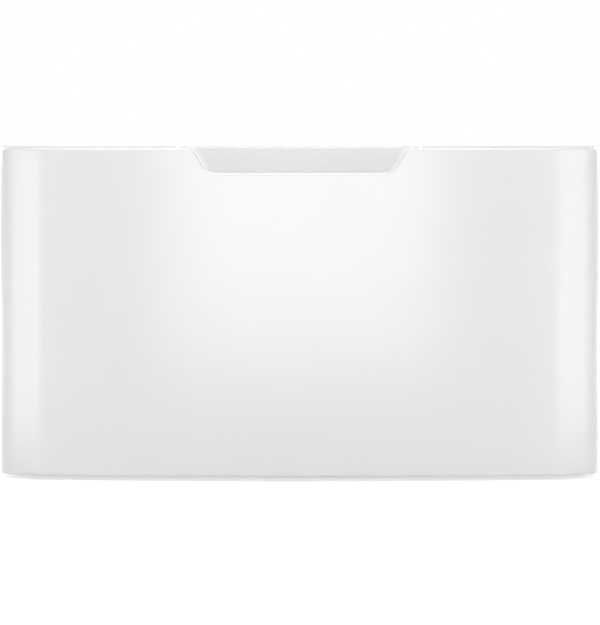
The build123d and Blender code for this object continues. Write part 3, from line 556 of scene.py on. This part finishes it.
@dataclass(frozen=True)
class DrawerFront:
    """The bowed front panel: a moulded shell whose rolled edge runs down into the grip notch."""

    half: float = 343.0
    y_crown: float = -342.0
    y_back: float = -282.0
    z_low: float = 5.0
    z_top: float = 379.0
    bow_rise: float = 23.0
    lead_r: float = 90.0
    corner_r: float = 24.0
    corner_turn_deg: float = 35.0
    edge_r: float = 3.5
    wall: float = 2.9
    notch_z: float = 350.7
    notch_half: float = 103.5
    notch_lean_deg: float = 58.0
    foot_r: float = 14.0
    shoulder_r: float = 12.0
    pocket_overlap: float = 20.4
    boss_r: float = 5.0
    boss_bore_r: float = 1.6
    boss_bore: float = 9.2
    boss_segments: int = 28
    liner: float = 1.2
    arc_points: int = 13  # along each arc of the notch
    slope_points: int = 9
    floor_points: int = 29  # along half the notch's floor
    # along the level top, to the ends of the pocket, the bow, the wide arc, the tight arc and the side
    level_points: tuple[int, ...] = (6, 43, 17, 25, 4)
    round_points: int = 9  # round each rolled edge
    rise_points: int = 15  # up the middle of the face
    end_rows: tuple[float, ...] = (0.0, 0.5, 1.5, 4.0, 9.0, 18.0)  # rows of the face by each rolled edge
    lean_from: float = 0.6  # of the notch's height, where the face's columns begin to lean with it

    def arcs(self) -> tuple[np.ndarray, np.ndarray, np.ndarray, np.ndarray]:
        """Works out the plan's arcs right of the crown: the bow, then the corner's wide and its tight radius.

        Each arc's centre lies on the line from the last arc's centre to where the two meet, so that they run
        into each other, and the tight radius touches the side.

        Returns:
            Centres (x, y), radii, the normal's angle at each arc's start and at the last one's end, and the
            distance along the plan to the same places.
        """
        bow_r = (self.half**2 + self.bow_rise**2) / (2 * self.bow_rise)
        turn = math.radians(self.corner_turn_deg)
        x = self.half - self.corner_r
        lead_x = x - (self.lead_r - self.corner_r) * math.sin(turn)
        bow_end = math.asin(lead_x / (bow_r - self.lead_r))
        lead_y = self.y_crown + bow_r - (bow_r - self.lead_r) * math.cos(bow_end)
        y = lead_y - (self.lead_r - self.corner_r) * math.cos(turn)
        centres = np.array([(0, self.y_crown + bow_r), (lead_x, lead_y), (x, y)])
        radii = np.array([bow_r, self.lead_r, self.corner_r])
        angles = np.array([0, bow_end, turn, math.pi / 2])
        return centres, radii, angles, np.append(0, np.cumsum(radii * np.diff(angles)))

    def plan(self, s: np.ndarray) -> tuple[np.ndarray, np.ndarray]:
        """Follows the front's plan: the three arcs and a short straight side, the same to both hands.

        Args:
            s: Distance along the plan from the crown, to the right where positive.

        Returns:
            Points (x, y) and the angle of the outward normal from straight ahead.
        """
        centres, radii, angles, starts = self.arcs()
        run = np.abs(s)
        arc = np.searchsorted(starts[1:3], run)
        angle = (angles[arc] + (run - starts[arc]) / radii[arc]).clip(0, math.pi / 2)
        x = centres[arc, 0] + radii[arc] * np.sin(angle)
        y = centres[arc, 1] - radii[arc] * np.cos(angle) + (run - starts[3]).clip(0)
        return np.stack([np.sign(s) * x, y], axis=-1), np.sign(s) * angle

    def open_s(self) -> float:
        """Finds where the level top begins, beyond the pocket.

        Returns:
            Distance along the plan from the crown.
        """
        x = self.notch_half + (self.z_top - self.notch_z) / math.tan(math.radians(self.notch_lean_deg))
        bow_r = self.arcs()[1][0]
        return bow_r * math.asin((x + self.pocket_overlap) / bow_r)

    def outline(self) -> np.ndarray:
        """Upper edge of the face from the left side to the right one, unrolled flat.

        Right of the middle it is the notch's floor, an arc that turns up by the lean, the sloping end, an arc
        that turns back at the shoulder, and the level top. The left half is its mirror image.

        Returns:
            Rows of (s, z, ns, nz): the point on the unrolled face and the edge's normal out of the material.
        """
        lean = math.radians(self.notch_lean_deg)
        tangent = math.tan(lean / 2)
        run = (self.z_top - self.notch_z) / math.tan(lean)
        foot = np.linspace(0, lean, self.arc_points)
        turn = foot[::-1]
        foot_x = self.notch_half - self.foot_r * tangent
        shoulder_x = self.notch_half + run + self.shoulder_r * tangent
        foot_arc = np.stack(
            [
                foot_x + self.foot_r * np.sin(foot),
                self.notch_z + self.foot_r * (1 - np.cos(foot)),
                foot,
            ],
            axis=-1,
        )
        shoulder_arc = np.stack(
            [
                shoulder_x - self.shoulder_r * np.sin(turn),
                self.z_top - self.shoulder_r * (1 - np.cos(turn)),
                turn,
            ],
            axis=-1,
        )
        share = np.linspace(0, 1, self.slope_points)[1:-1, None]
        slope = foot_arc[-1] + share * (shoulder_arc[0] - foot_arc[-1])
        floor_x = np.linspace(0, foot_x, self.floor_points)[:-1]
        floor = np.stack([floor_x, np.full_like(floor_x, self.notch_z), np.zeros_like(floor_x)], axis=-1)
        centres, _, _, (_, lead, corner, side) = self.arcs()
        marks = (shoulder_x, self.open_s(), lead, corner, side, side + self.y_back - centres[2, 1])
        level_s = np.concatenate(
            [
                np.linspace(start, end, points)[1:]
                for start, end, points in zip(marks, marks[1:], self.level_points)
            ]
        )
        level = np.stack([level_s, np.full_like(level_s, self.z_top), np.zeros_like(level_s)], axis=-1)
        right = np.concatenate([floor, foot_arc, slope, shoulder_arc, level])
        rows = np.stack([right[:, 0], right[:, 1], -np.sin(right[:, 2]), np.cos(right[:, 2])], axis=-1)
        return np.concatenate([rows[:0:-1] * (-1, 1, -1, 1), rows])

    def skin(self) -> list[np.ndarray]:
        """Outer skin in three grids: the face with its lower plate, and the level tops beside the notch.

        Each column of the face runs from the back of the lower plate forwards, round a quarter circle, up the
        face and round a second quarter circle whose centre stays one edge radius inside the outline.

        Returns:
            The grids of points, in millimetres.
        """
        edge = self.outline()
        s, z, ns, nz = edge.T
        r = self.edge_r
        ends = np.array(self.end_rows)
        low = (self.z_low + r + ends)[:, None]
        top_z = z - r * nz
        high = top_z - ends[::-1, None]
        share = np.linspace(0, 1, self.rise_points)[1:-1, None]
        rise = np.concatenate(
            [np.broadcast_to(low, (len(ends), len(s))), low[-1] + share * (high[0] - low[-1]), high]
        )
        lean_z = self.notch_z * self.lean_from
        blend = np.clip((rise - lean_z) / (top_z - lean_z), 0, 1)
        s_face = s - r * ns * blend * blend * (3 - 2 * blend)
        face_xy, _ = self.plan(s_face)
        face = np.concatenate([face_xy, rise[..., None]], axis=-1)

        foot_xy, angle = self.plan(s)
        out = np.stack([np.sin(angle), -np.cos(angle)], axis=-1)
        bend = np.linspace(-math.pi / 2, 0, self.round_points)[:-1, None, None]
        foot_round = np.concatenate(
            [
                foot_xy + out * r * (np.cos(bend) - 1),
                np.broadcast_to(self.z_low + r + r * np.sin(bend), (len(bend), len(s), 1)),
            ],
            axis=-1,
        )
        plate = foot_round[:1].copy()
        plate[..., 1] = self.y_back

        crest_xy, crest_angle = self.plan(s - r * ns)
        crest_out = np.stack([np.sin(crest_angle), -np.cos(crest_angle)], axis=-1)
        crest_side = np.stack([np.cos(crest_angle), np.sin(crest_angle)], axis=-1)
        curl = np.linspace(0, math.pi / 2, self.round_points)[1:, None, None]
        crest = np.concatenate(
            [
                crest_xy
                + crest_out * r * (np.cos(curl) - 1)
                + crest_side * r * np.sin(curl) * ns[:, None],
                top_z[:, None] + r * np.sin(curl) * nz[:, None],
            ],
            axis=-1,
        )
        grids = [np.concatenate([plate, foot_round, face, crest])]
        reach = self.open_s() - WELD_DISTANCE
        for side in (s < -reach, s > reach):
            front = crest[-1][side]
            back = front.copy()
            back[:, 1] = self.y_back
            grids.append(np.stack([front, back]))
        return grids

    def bosses(self, screws: str) -> list[np.ndarray]:
        """Tubes behind the face that take the liner's screws, from the liner to the inside of the face.

        Args:
            screws: The CAD node whose box gives the screws' places.

        Returns:
            A grid for each boss.
        """
        y_liner = self.y_back - self.liner
        made = []
        for x, z in grid_places(screws, *LINER_SCREWS):
            y_face = self.plan(np.array([x]))[0][0, 1] + self.wall
            depth = y_liner - y_face
            profile = np.array(
                [
                    (0, -self.boss_bore),
                    (self.boss_bore_r, -self.boss_bore),
                    (self.boss_bore_r, 0),
                    (self.boss_r, 0),
                    (self.boss_r, -depth),
                ]
            )
            made.append(placed(turned(profile, self.boss_segments), (x, y_liner, z), Facing.BACK))
        return made

    def build(self) -> None:
        """Builds the panel: its skin gets a wall inwards, and the bosses are set behind it."""
        piece = sewn("bowed_front_panel", self.skin())
        wall = piece.modifiers.new("wall", "SOLIDIFY")
        wall.thickness = self.wall * MM
        wall.offset = -1
        walled = piece.evaluated_get(bpy.context.evaluated_depsgraph_get())
        solid = bpy.data.meshes.new_from_object(walled)
        piece.modifiers.clear()
        boss = sewn("front_bosses", self.bosses("drawer_liner_screws"))
        joined = bmesh.new()
        joined.from_mesh(solid)
        joined.from_mesh(boss.data)
        joined.to_mesh(piece.data)
        joined.free()
        bpy.data.objects.remove(boss)
        piece.data.shade_smooth()
        piece.data.set_sharp_from_angle(angle=math.radians(CREASE_DEG))
        fit(piece, "drawer", Slot.FRONT, "drawer_front_panel")


# Fasteners


LINER_SCREWS = (5, 2)  # columns and rows
BOX_SCREWS = (2, 3)
REAR_SCREWS = (2, 4)


def grid_places(node: str, columns: int, rows: int) -> list[tuple[float, float]]:
    """Centres of the heads in a CAD node that sets its screws in columns and rows.

    Args:
        node: The CAD node.
        columns: Heads along X.
        rows: Heads along Z.

    Returns:
        Pairs of x and z, in millimetres.
    """
    low, high = (np.array(corner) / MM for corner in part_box(node))
    inset = PanScrew.head_r
    across = np.linspace(low[0] + inset, high[0] - inset, columns)
    up = np.linspace(low[2] + inset, high[2] - inset, rows)
    return [(float(x), float(z)) for z in up for x in across]


@dataclass(frozen=True)
class PanScrew:
    """A pan-head screw with a cross recess, its seat at the origin and its head towards +Z."""

    head_r: float = 4.0
    head_h: float = 2.0
    crown_share: float = 0.76  # of the head's radius, up to the rounded shoulder
    crown_fall: float = 0.1  # of the head's height
    shoulder_low: float = 0.35  # of the height at the crown's edge
    shank_r: float = 2.0
    length: float = 8.0
    tip_share: float = 0.6  # of the shank's radius
    recess_reach: float = 2.3
    recess_half: float = 0.42
    recess_soft: float = 0.16
    recess_depth: float = 1.25
    recess_power: float = 0.7
    crown_rings: int = 22
    shoulder_rings: int = 7
    segments: int = 64

    def grid(self) -> np.ndarray:
        """A turned profile, with a cross sunk in its top.

        The head's crown falls by a tenth of its height to a rounded shoulder. Inside the cross, where the
        smaller of |x| and |y| is under half an arm's width, the crown drops by a power of the share of the
        way that is left to the arm's end.

        Returns:
            One grid of the whole screw.
        """
        crown = np.linspace(0, self.crown_share, self.crown_rings) * self.head_r
        round_off = np.linspace(0, math.pi / 2, self.shoulder_rings)[1:]
        crown_z = self.head_h * (1 - self.crown_fall * (crown / crown[-1]) ** 2)
        shoulder_r = crown[-1] + (self.head_r - crown[-1]) * np.sin(round_off)
        shoulder_z = crown_z[-1] * (self.shoulder_low + (1 - self.shoulder_low) * np.cos(round_off))
        below = np.array(
            [
                (self.head_r, 0),
                (self.shank_r, 0),
                (self.shank_r, -self.length + self.shank_r / 2),
                (self.shank_r * self.tip_share, -self.length),
                (0, -self.length),
            ]
        )
        profile = np.concatenate(
            [np.stack([crown, crown_z], axis=-1), np.stack([shoulder_r, shoulder_z], axis=-1), below]
        )
        grid = turned(profile, self.segments)
        top = grid[: len(crown)]
        reach = np.maximum(np.abs(top[..., 0]), np.abs(top[..., 1]))
        across = np.minimum(np.abs(top[..., 0]), np.abs(top[..., 1]))
        inside = np.clip((self.recess_half + self.recess_soft - across) / self.recess_soft, 0, 1)
        left = np.clip(1 - reach / self.recess_reach, 0, 1)
        top[..., 2] -= self.recess_depth * inside * left**self.recess_power
        return grid


@dataclass(frozen=True)
class ScrewGroup:
    """Screws that the CAD model sets in columns and rows, with their heads to the back."""

    name: str
    node: str
    body: str
    y_seat: float
    counts: tuple[int, int]
    screw: PanScrew

    def build(self) -> None:
        """Builds the group as one piece."""
        grid = self.screw.grid()
        places = grid_places(self.node, *self.counts)
        grids = [placed(grid, (x, self.y_seat, z), Facing.BACK) for x, z in places]
        fit(sewn(self.name, grids), self.body, Slot.ZINC, self.node)


@dataclass(frozen=True)
class Fasteners:
    """All the pedestal's screws: rear panel to cabinet, liner to front panel, and drawer box to liner."""

    groups: tuple[ScrewGroup, ...] = (
        ScrewGroup("rear_panel_pan_screws", "rear_panel_screws", "cabinet", 340.0, REAR_SCREWS, PanScrew()),
        ScrewGroup(
            "drawer_liner_pan_screws",
            "drawer_liner_screws",
            "drawer",
            -282.0,
            LINER_SCREWS,
            PanScrew(shank_r=1.6),
        ),
        ScrewGroup(
            "drawer_box_pan_screws", "drawer_box_screws", "drawer", -281.0, BOX_SCREWS, PanScrew(length=2.5)
        ),
    )

    def build(self) -> None:
        """Builds every group."""
        for group in self.groups:
            group.build()


# Levelling legs


@dataclass(frozen=True)
class LevellingLeg:
    """A threaded stem with a hexagon collar, standing in a moulded pad."""

    x: float
    y: float
    stem_r: float = 5.0
    thread_pitch: float = 1.5
    thread_depth: float = 0.75
    stem_low: float = 4.0
    stem_top: float = 58.3
    collar_low: float = 9.0
    collar_top: float = 17.5
    flats: float = 17.0
    tip_share: float = 0.75  # of the stem's radius, at its very top
    thread_steepness: float = 1.25  # of the V's flanks
    thread_flat: float = 0.12  # left between two Vs
    thread_points: int = 41  # round the stem
    pitch_rows: int = 8
    groove: float = 0.7  # depth of the rings in the sole
    flank_foot: tuple[float, float] = (18.4, 3.0)  # of the pad, as (r, z)
    flank_sweep: tuple[float, float] = (-5.2, 5.3)
    flank_powers: tuple[float, float] = (0.75, 1.3)
    flank_rings: int = 9
    pad_segments: int = 56

    def thread(self) -> np.ndarray:
        """Stem surface: r falls from the crest by a V whose place climbs one pitch each turn.

        Returns:
            A grid that winds round the leg's axis, closed at both ends.
        """
        angle = np.linspace(0, 2 * np.pi, self.thread_points)
        z = np.arange(self.stem_low, self.stem_top, self.thread_pitch / self.pitch_rows)
        z = np.append(z, self.stem_top)[:, None]
        phase = (z / self.thread_pitch - angle / (2 * np.pi)) % 1
        groove = np.clip(self.thread_steepness * (1 - np.abs(2 * phase - 1)) - self.thread_flat, 0, 1)
        run_in = np.clip((z - self.collar_top) / self.thread_pitch, 0, 1)
        radius = self.stem_r - self.thread_depth * groove * run_in
        radius = np.minimum(radius, self.stem_r * self.tip_share + (self.stem_top - z))
        ring = np.stack(
            [radius * np.cos(angle), radius * np.sin(angle), np.broadcast_to(z, radius.shape)], axis=-1
        )
        low, top = ring[:1] * (0, 0, 1), ring[-1:] * (0, 0, 1)
        return np.concatenate([low, ring, top]) + (self.x, self.y, 0)

    def pad_profile(self) -> np.ndarray:
        """Pad section: a grooved sole, a rounded lip and a flank that sweeps in to the collar.

        Along the flank r and z each run from its foot by a power of the share of the way.

        Returns:
            Rows of (r, z), in millimetres.
        """
        groove = self.groove
        inner = [(0, groove), (3, groove), (3.5, 0), (6.5, 0), (7, groove), (8, groove), (8.5, 0)]
        outer = [(11.5, 0), (12, groove), (13, groove), (13.5, 0), (17.6, 0)]
        lip = [(18.5, 0.3), (18.9, 0.8), (19, 1.4), (19, 2.1), (18.8, 2.6)]
        share = np.linspace(0, 1, self.flank_rings)[:, None]
        flank = self.flank_foot + np.array(self.flank_sweep) * share ** np.array(self.flank_powers)
        seat = self.collar_low
        crown = [(12.9, 8.8), (12.4, seat), (self.stem_r, seat), (self.stem_r, self.stem_low)]
        return np.array([*inner, *outer, *lip, *flank.tolist(), *crown, (0, self.stem_low)])

    def build(self, body: str) -> None:
        """Builds stem and pad.

        Args:
            body: The leg's body, which also starts its nodes' names.
        """
        foot = (self.x, self.y, 0)
        collar = hexagon_nut(self.flats, self.collar_low, self.collar_top, self.stem_r) + foot
        stem = sewn(f"{body}_threaded_stem", [self.thread(), collar])
        fit(stem, body, Slot.ZINC, f"{body}_stem")
        pad = sewn(f"{body}_grooved_pad", [turned(self.pad_profile(), self.pad_segments) + foot])
        fit(pad, body, Slot.RUBBER, f"{body}_pad")


NUT_POINTS = 73  # round a nut
NUT_CIRCLE = 0.96  # the cones' small circle, as a share of the width across flats
NUT_CONE = math.radians(30)


def hexagon_nut(flats: float, z_low: float, z_top: float, bore: float) -> np.ndarray:
    """A hexagon prism with a bore, its corners turned off by cones at both ends.

    Round the axis the outside lies at half the flats over the cosine of the angle to the nearest flat's
    middle. Where that is outside the cone's small circle, the flat begins lower by the excess times the
    tangent of the cone's slope.

    Args:
        flats: Width across flats.
        z_low: Lower face.
        z_top: Upper face.
        bore: Radius of the bore.

    Returns:
        One closed grid about the Z axis.
    """
    angle = np.linspace(0, 2 * np.pi, NUT_POINTS)
    outside = flats / 2 / np.cos(angle % (np.pi / 3) - np.pi / 6)
    circle = np.full_like(angle, flats / 2 * NUT_CIRCLE)
    drop = (outside - circle) * math.tan(NUT_CONE)
    inner = np.full_like(angle, bore)
    radius = np.stack([inner, circle, outside, outside, circle, inner, inner])
    low, top = np.full_like(angle, z_low), np.full_like(angle, z_top)
    height = np.stack([low, low, low + drop, top - drop, top, top, low])
    return np.stack([radius * np.cos(angle), radius * np.sin(angle), height], axis=-1)


@dataclass(frozen=True)
class LegSet:
    """The four legs with their weld nuts and lock nuts."""

    x: float = 300.0
    y_front: float = -231.35
    y_rear: float = 298.5
    flats: float = 17.0
    bore: float = 5.15

    def nuts(self, node: str, name: str) -> None:
        """Builds one nut on each leg.

        Args:
            node: The CAD node that holds the four nuts and gives their height.
            name: Name of the piece.
        """
        low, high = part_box(node)
        nut = hexagon_nut(self.flats, low.z / MM, high.z / MM, self.bore)
        grids = [nut + (x, y, 0) for x in (-self.x, self.x) for y in (self.y_front, self.y_rear)]
        fit(sewn(name, grids), "cabinet", Slot.ZINC, node)

    def build(self) -> None:
        """Builds legs and nuts."""
        for end, y in (("front", self.y_front), ("rear", self.y_rear)):
            for side, x in (("left", -self.x), ("right", self.x)):
                LevellingLeg(x, y).build(f"{end}_{side}_leg")
        self.nuts("leg_weld_nuts", "leg_chamfered_weld_nuts")
        self.nuts("leg_lock_nuts", "leg_chamfered_lock_nuts")


# Bumpers


@dataclass(frozen=True)
class FrontBumpers:
    """Domed buffers with barbed stems on the cabinet's front flanges."""

    x: float = 322.425
    z_low: float = 70.0
    z_high: float = 330.0
    y_flange: float = -277.85
    nose: float = 3.85
    radius: float = 6.0
    fullness: float = 0.8  # power of the sine that swells the dome
    rim_share: float = 0.25  # of the nose's height, where the dome meets its side
    barb: tuple[tuple[float, float], ...] = (
        (2.0, 0.0),
        (2.0, -1.2),
        (2.5, -1.5),
        (2.25, -2.4),
        (1.125, -4.0),
        (0.0, -4.0),
    )
    dome_rings: int = 12
    segments: int = 40
    crease_deg: float = 50.0

    def profile(self) -> np.ndarray:
        """Section from the nose back: a full dome, a flat seat, and a stem that swells into a barb.

        Returns:
            Rows of (r, z), in millimetres.
        """
        swing = np.linspace(0, math.pi / 2, self.dome_rings)
        dome_z = self.nose * (self.rim_share + (1 - self.rim_share) * np.cos(swing))
        dome = np.stack([self.radius * np.sin(swing) ** self.fullness, dome_z], axis=-1)
        return np.concatenate([dome, np.array([(self.radius, 0), *self.barb])])

    def build(self) -> None:
        """Builds the four bumpers as one piece."""
        buffer = turned(self.profile(), self.segments)
        places = [(x, z) for x in (-self.x, self.x) for z in (self.z_low, self.z_high)]
        grids = [placed(buffer, (x, self.y_flange, z), Facing.FRONT) for x, z in places]
        piece = sewn("front_domed_bumpers", grids, self.crease_deg)
        fit(piece, "cabinet", Slot.ELASTOMER, "front_bumpers")


# Studio


@dataclass(frozen=True)
class Softbox:
    """A rectangular lamp with an even face."""

    name: str
    place: tuple[float, float, float]
    target: tuple[float, float, float]
    width: float
    height: float
    power: float

    def build(self) -> None:
        """Hangs the lamp, facing its target. Metres and watts."""
        lamp = bpy.data.lights.new(self.name, "AREA")
        lamp.shape = "RECTANGLE"
        lamp.size = self.width
        lamp.size_y = self.height
        lamp.energy = self.power
        hung = bpy.data.objects.new(self.name, lamp)
        hung.location = self.place
        hung.visible_camera = False
        aim = Vector(self.target) - Vector(self.place)
        hung.rotation_euler = aim.to_track_quat("-Z", "Y").to_euler()
        bpy.context.scene.collection.objects.link(hung)


@dataclass(frozen=True)
class Studio:
    """A pale floor, a white surround and softboxes, in metres and watts."""

    floor_half: float = 30.0
    floor_colour: str = "#F4F4F4"
    floor_roughness: float = 0.9
    ambient: float = 0.12
    floor_glow: float = 0.6  # lift of the floor beside the object
    glow_from: float = 0.7  # from here outwards the lift grows
    glow_full: float = 2.0  # and here it is one
    boxes: tuple[Softbox, ...] = (
        Softbox("front_key", (0.0, -2.24, 0.27), (0.0, -0.34, 0.23), 0.95, 0.52, 3.95),
        Softbox("front_high", (0.0, -4.57, 2.0), (0.0, -0.34, 0.2), 1.2, 1.6, 5.8),
        Softbox("front_top", (0.0, -0.85, 1.0), (0.0, -0.34, 0.37), 0.9, 0.5, 3.6),
        Softbox("left_corner", (-0.66, -0.667, 0.3), (-0.3, -0.32, 0.3), 0.45, 0.6, 1.09),
        Softbox("right_corner", (0.652, -0.675, 0.3), (0.3, -0.32, 0.3), 0.48, 0.6, 1.15),
        Softbox("left_rear", (-2.4, 2.3, 1.3), (-0.3, 0.0, 0.2), 2.6, 2.0, 24.0),
        Softbox("right_rear", (2.4, 2.3, 1.3), (0.3, 0.0, 0.2), 2.6, 2.0, 24.0),
        Softbox("overhead", (0.0, -0.3, 2.6), (0.0, -0.3, 0.0), 2.4, 1.6, 15.5),
        Softbox("deck_fill", (0.0, 0.55, 2.3), (0.0, 0.25, 0.38), 1.2, 0.9, 4.0),
        Softbox("back_fill", (0.0, 4.2, 1.2), (0.0, 0.3, 0.2), 3.0, 1.6, 26.0),
    )

    def seen(self, tree: bpy.types.NodeTree) -> bpy.types.NodeSocket:
        """One for rays from the camera, in a reflection or through glass, and nought for the light itself.

        Args:
            tree: A material's or the world's node tree.

        Returns:
            The factor's socket.
        """
        path = add_node(tree, "ShaderNodeLightPath")
        gloss = add_node(
            tree,
            "ShaderNodeMath",
            {0: path.outputs["Is Camera Ray"], 1: path.outputs["Is Glossy Ray"]},
            operation="MAXIMUM",
        )
        either = add_node(
            tree,
            "ShaderNodeMath",
            {0: gloss.outputs[0], 1: path.outputs["Is Transmission Ray"]},
            operation="MAXIMUM",
        )
        return either.outputs[0]

    def world(self) -> None:
        """Surround that is white to look at and lights the object at a lower, even level."""
        world = bpy.data.worlds.new("white_surround")
        world.use_nodes = True
        tree = world.node_tree
        level = add_node(
            tree, "ShaderNodeMix", {0: self.seen(tree), 2: self.ambient, 3: 1.0}, data_type="FLOAT"
        )
        tree.links.new(level.outputs[0], tree.nodes["Background"].inputs["Strength"])
        tree.nodes["Background"].inputs["Color"].default_value = WHITE
        bpy.context.scene.world = world

    def floor(self) -> None:
        """Matt floor that takes the object's shadow, lifted towards white where it is looked at."""
        half = self.floor_half
        rows = [[(x, y, 0) for x in (-half, half)] for y in (-half, half)]
        piece = sewn("studio_floor", [np.array(rows) / MM])
        made = bpy.data.materials.new("floor_matt_paper")
        made.use_nodes = True
        tree = made.node_tree
        shader = tree.nodes["Principled BSDF"]
        shader.inputs["Base Color"].default_value = linear(self.floor_colour)
        shader.inputs["Roughness"].default_value = self.floor_roughness
        shader.inputs["Specular IOR Level"].default_value = 0.0
        shader.inputs["Emission Color"].default_value = WHITE
        where = add_node(tree, "ShaderNodeTexCoord").outputs["Object"]
        away = add_node(tree, "ShaderNodeVectorMath", {0: where}, operation="LENGTH")
        glow = add_node(
            tree,
            "ShaderNodeMapRange",
            {
                "Value": away.outputs["Value"],
                "From Min": self.glow_from,
                "From Max": self.glow_full,
                "To Min": self.floor_glow,
                "To Max": 1.0,
            },
            interpolation_type="SMOOTHSTEP",
        )
        lift = add_node(
            tree, "ShaderNodeMath", {0: self.seen(tree), 1: glow.outputs["Result"]}, operation="MULTIPLY"
        )
        tree.links.new(lift.outputs[0], shader.inputs["Emission Strength"])
        piece.data.materials.append(made)

    def build(self) -> None:
        """Builds surround, floor and lamps, and leaves colours as they are written."""
        self.world()
        self.floor()
        for box in self.boxes:
            box.build()
        bpy.context.scene.view_settings.view_transform = "Standard"


@dataclass(frozen=True)
class PhotoCamera:
    """Camera straight ahead of the front, level with the pedestal's upper edge, on a long lens."""

    distance: float = 3500.0  # lens to the crown of the bow
    y_crown: float = -342.0
    y_widest: float = -290.07
    half: float = 343.0
    height: float = 381.0
    half_px: float = 299.0
    middle_px: float = 299.7
    horizon_px: float = 146.0
    shift_y: float = -0.10
    sensor: float = 36.0
    clip_end: float = 200.0  # metres, past the floor's far edge

    def build(self) -> None:
        """Works out the lens from the photograph's outline, and the tilt from where the upper edge lies.

        The lens gives half the width its pixels at the widest place. The upper edge is at the lens's height,
        so it lies on the horizon, which the tilt and the shift bring to its place above the frame's middle.
        """
        focal_px = self.half_px * (self.distance + self.y_widest - self.y_crown) / self.half
        above = IMAGE_HEIGHT / 2 - self.horizon_px + self.shift_y * IMAGE_HEIGHT
        data = bpy.data.cameras.new("photo_camera")
        data.sensor_width = self.sensor
        data.lens = focal_px * self.sensor / IMAGE_HEIGHT
        data.shift_x = (IMAGE_WIDTH / 2 - self.middle_px) / IMAGE_HEIGHT
        data.shift_y = self.shift_y
        data.clip_end = self.clip_end
        camera = bpy.data.objects.new("photo_camera", data)
        camera.location = (0.0, (self.y_crown - self.distance) * MM, self.height * MM)
        camera.rotation_euler = (math.pi / 2 - math.atan(above / focal_px), 0.0, 0.0)
        bpy.context.scene.collection.objects.link(camera)
        bpy.context.scene.camera = camera


def dress_cad_nodes() -> None:
    """Gives every CAD node the finish of its slot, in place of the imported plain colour."""
    for name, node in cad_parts.items():
        for holder in node.material_slots:
            slot = Slot(holder.material.name.split(".")[0])
            holder.material = FINISHES[slot].material()
            log.info("%s keeps its CAD shape in %s", name, slot.value)


def main() -> None:
    """Builds the camera, the pieces and the studio, in that order."""
    logging.basicConfig(level=logging.INFO, format="%(name)s: %(message)s")
    PhotoCamera().build()
    dress_cad_nodes()
    DrawerFront().build()
    Fasteners().build()
    LegSet().build()
    FrontBumpers().build()
    Studio().build()


if __name__ == "__main__":
    main()
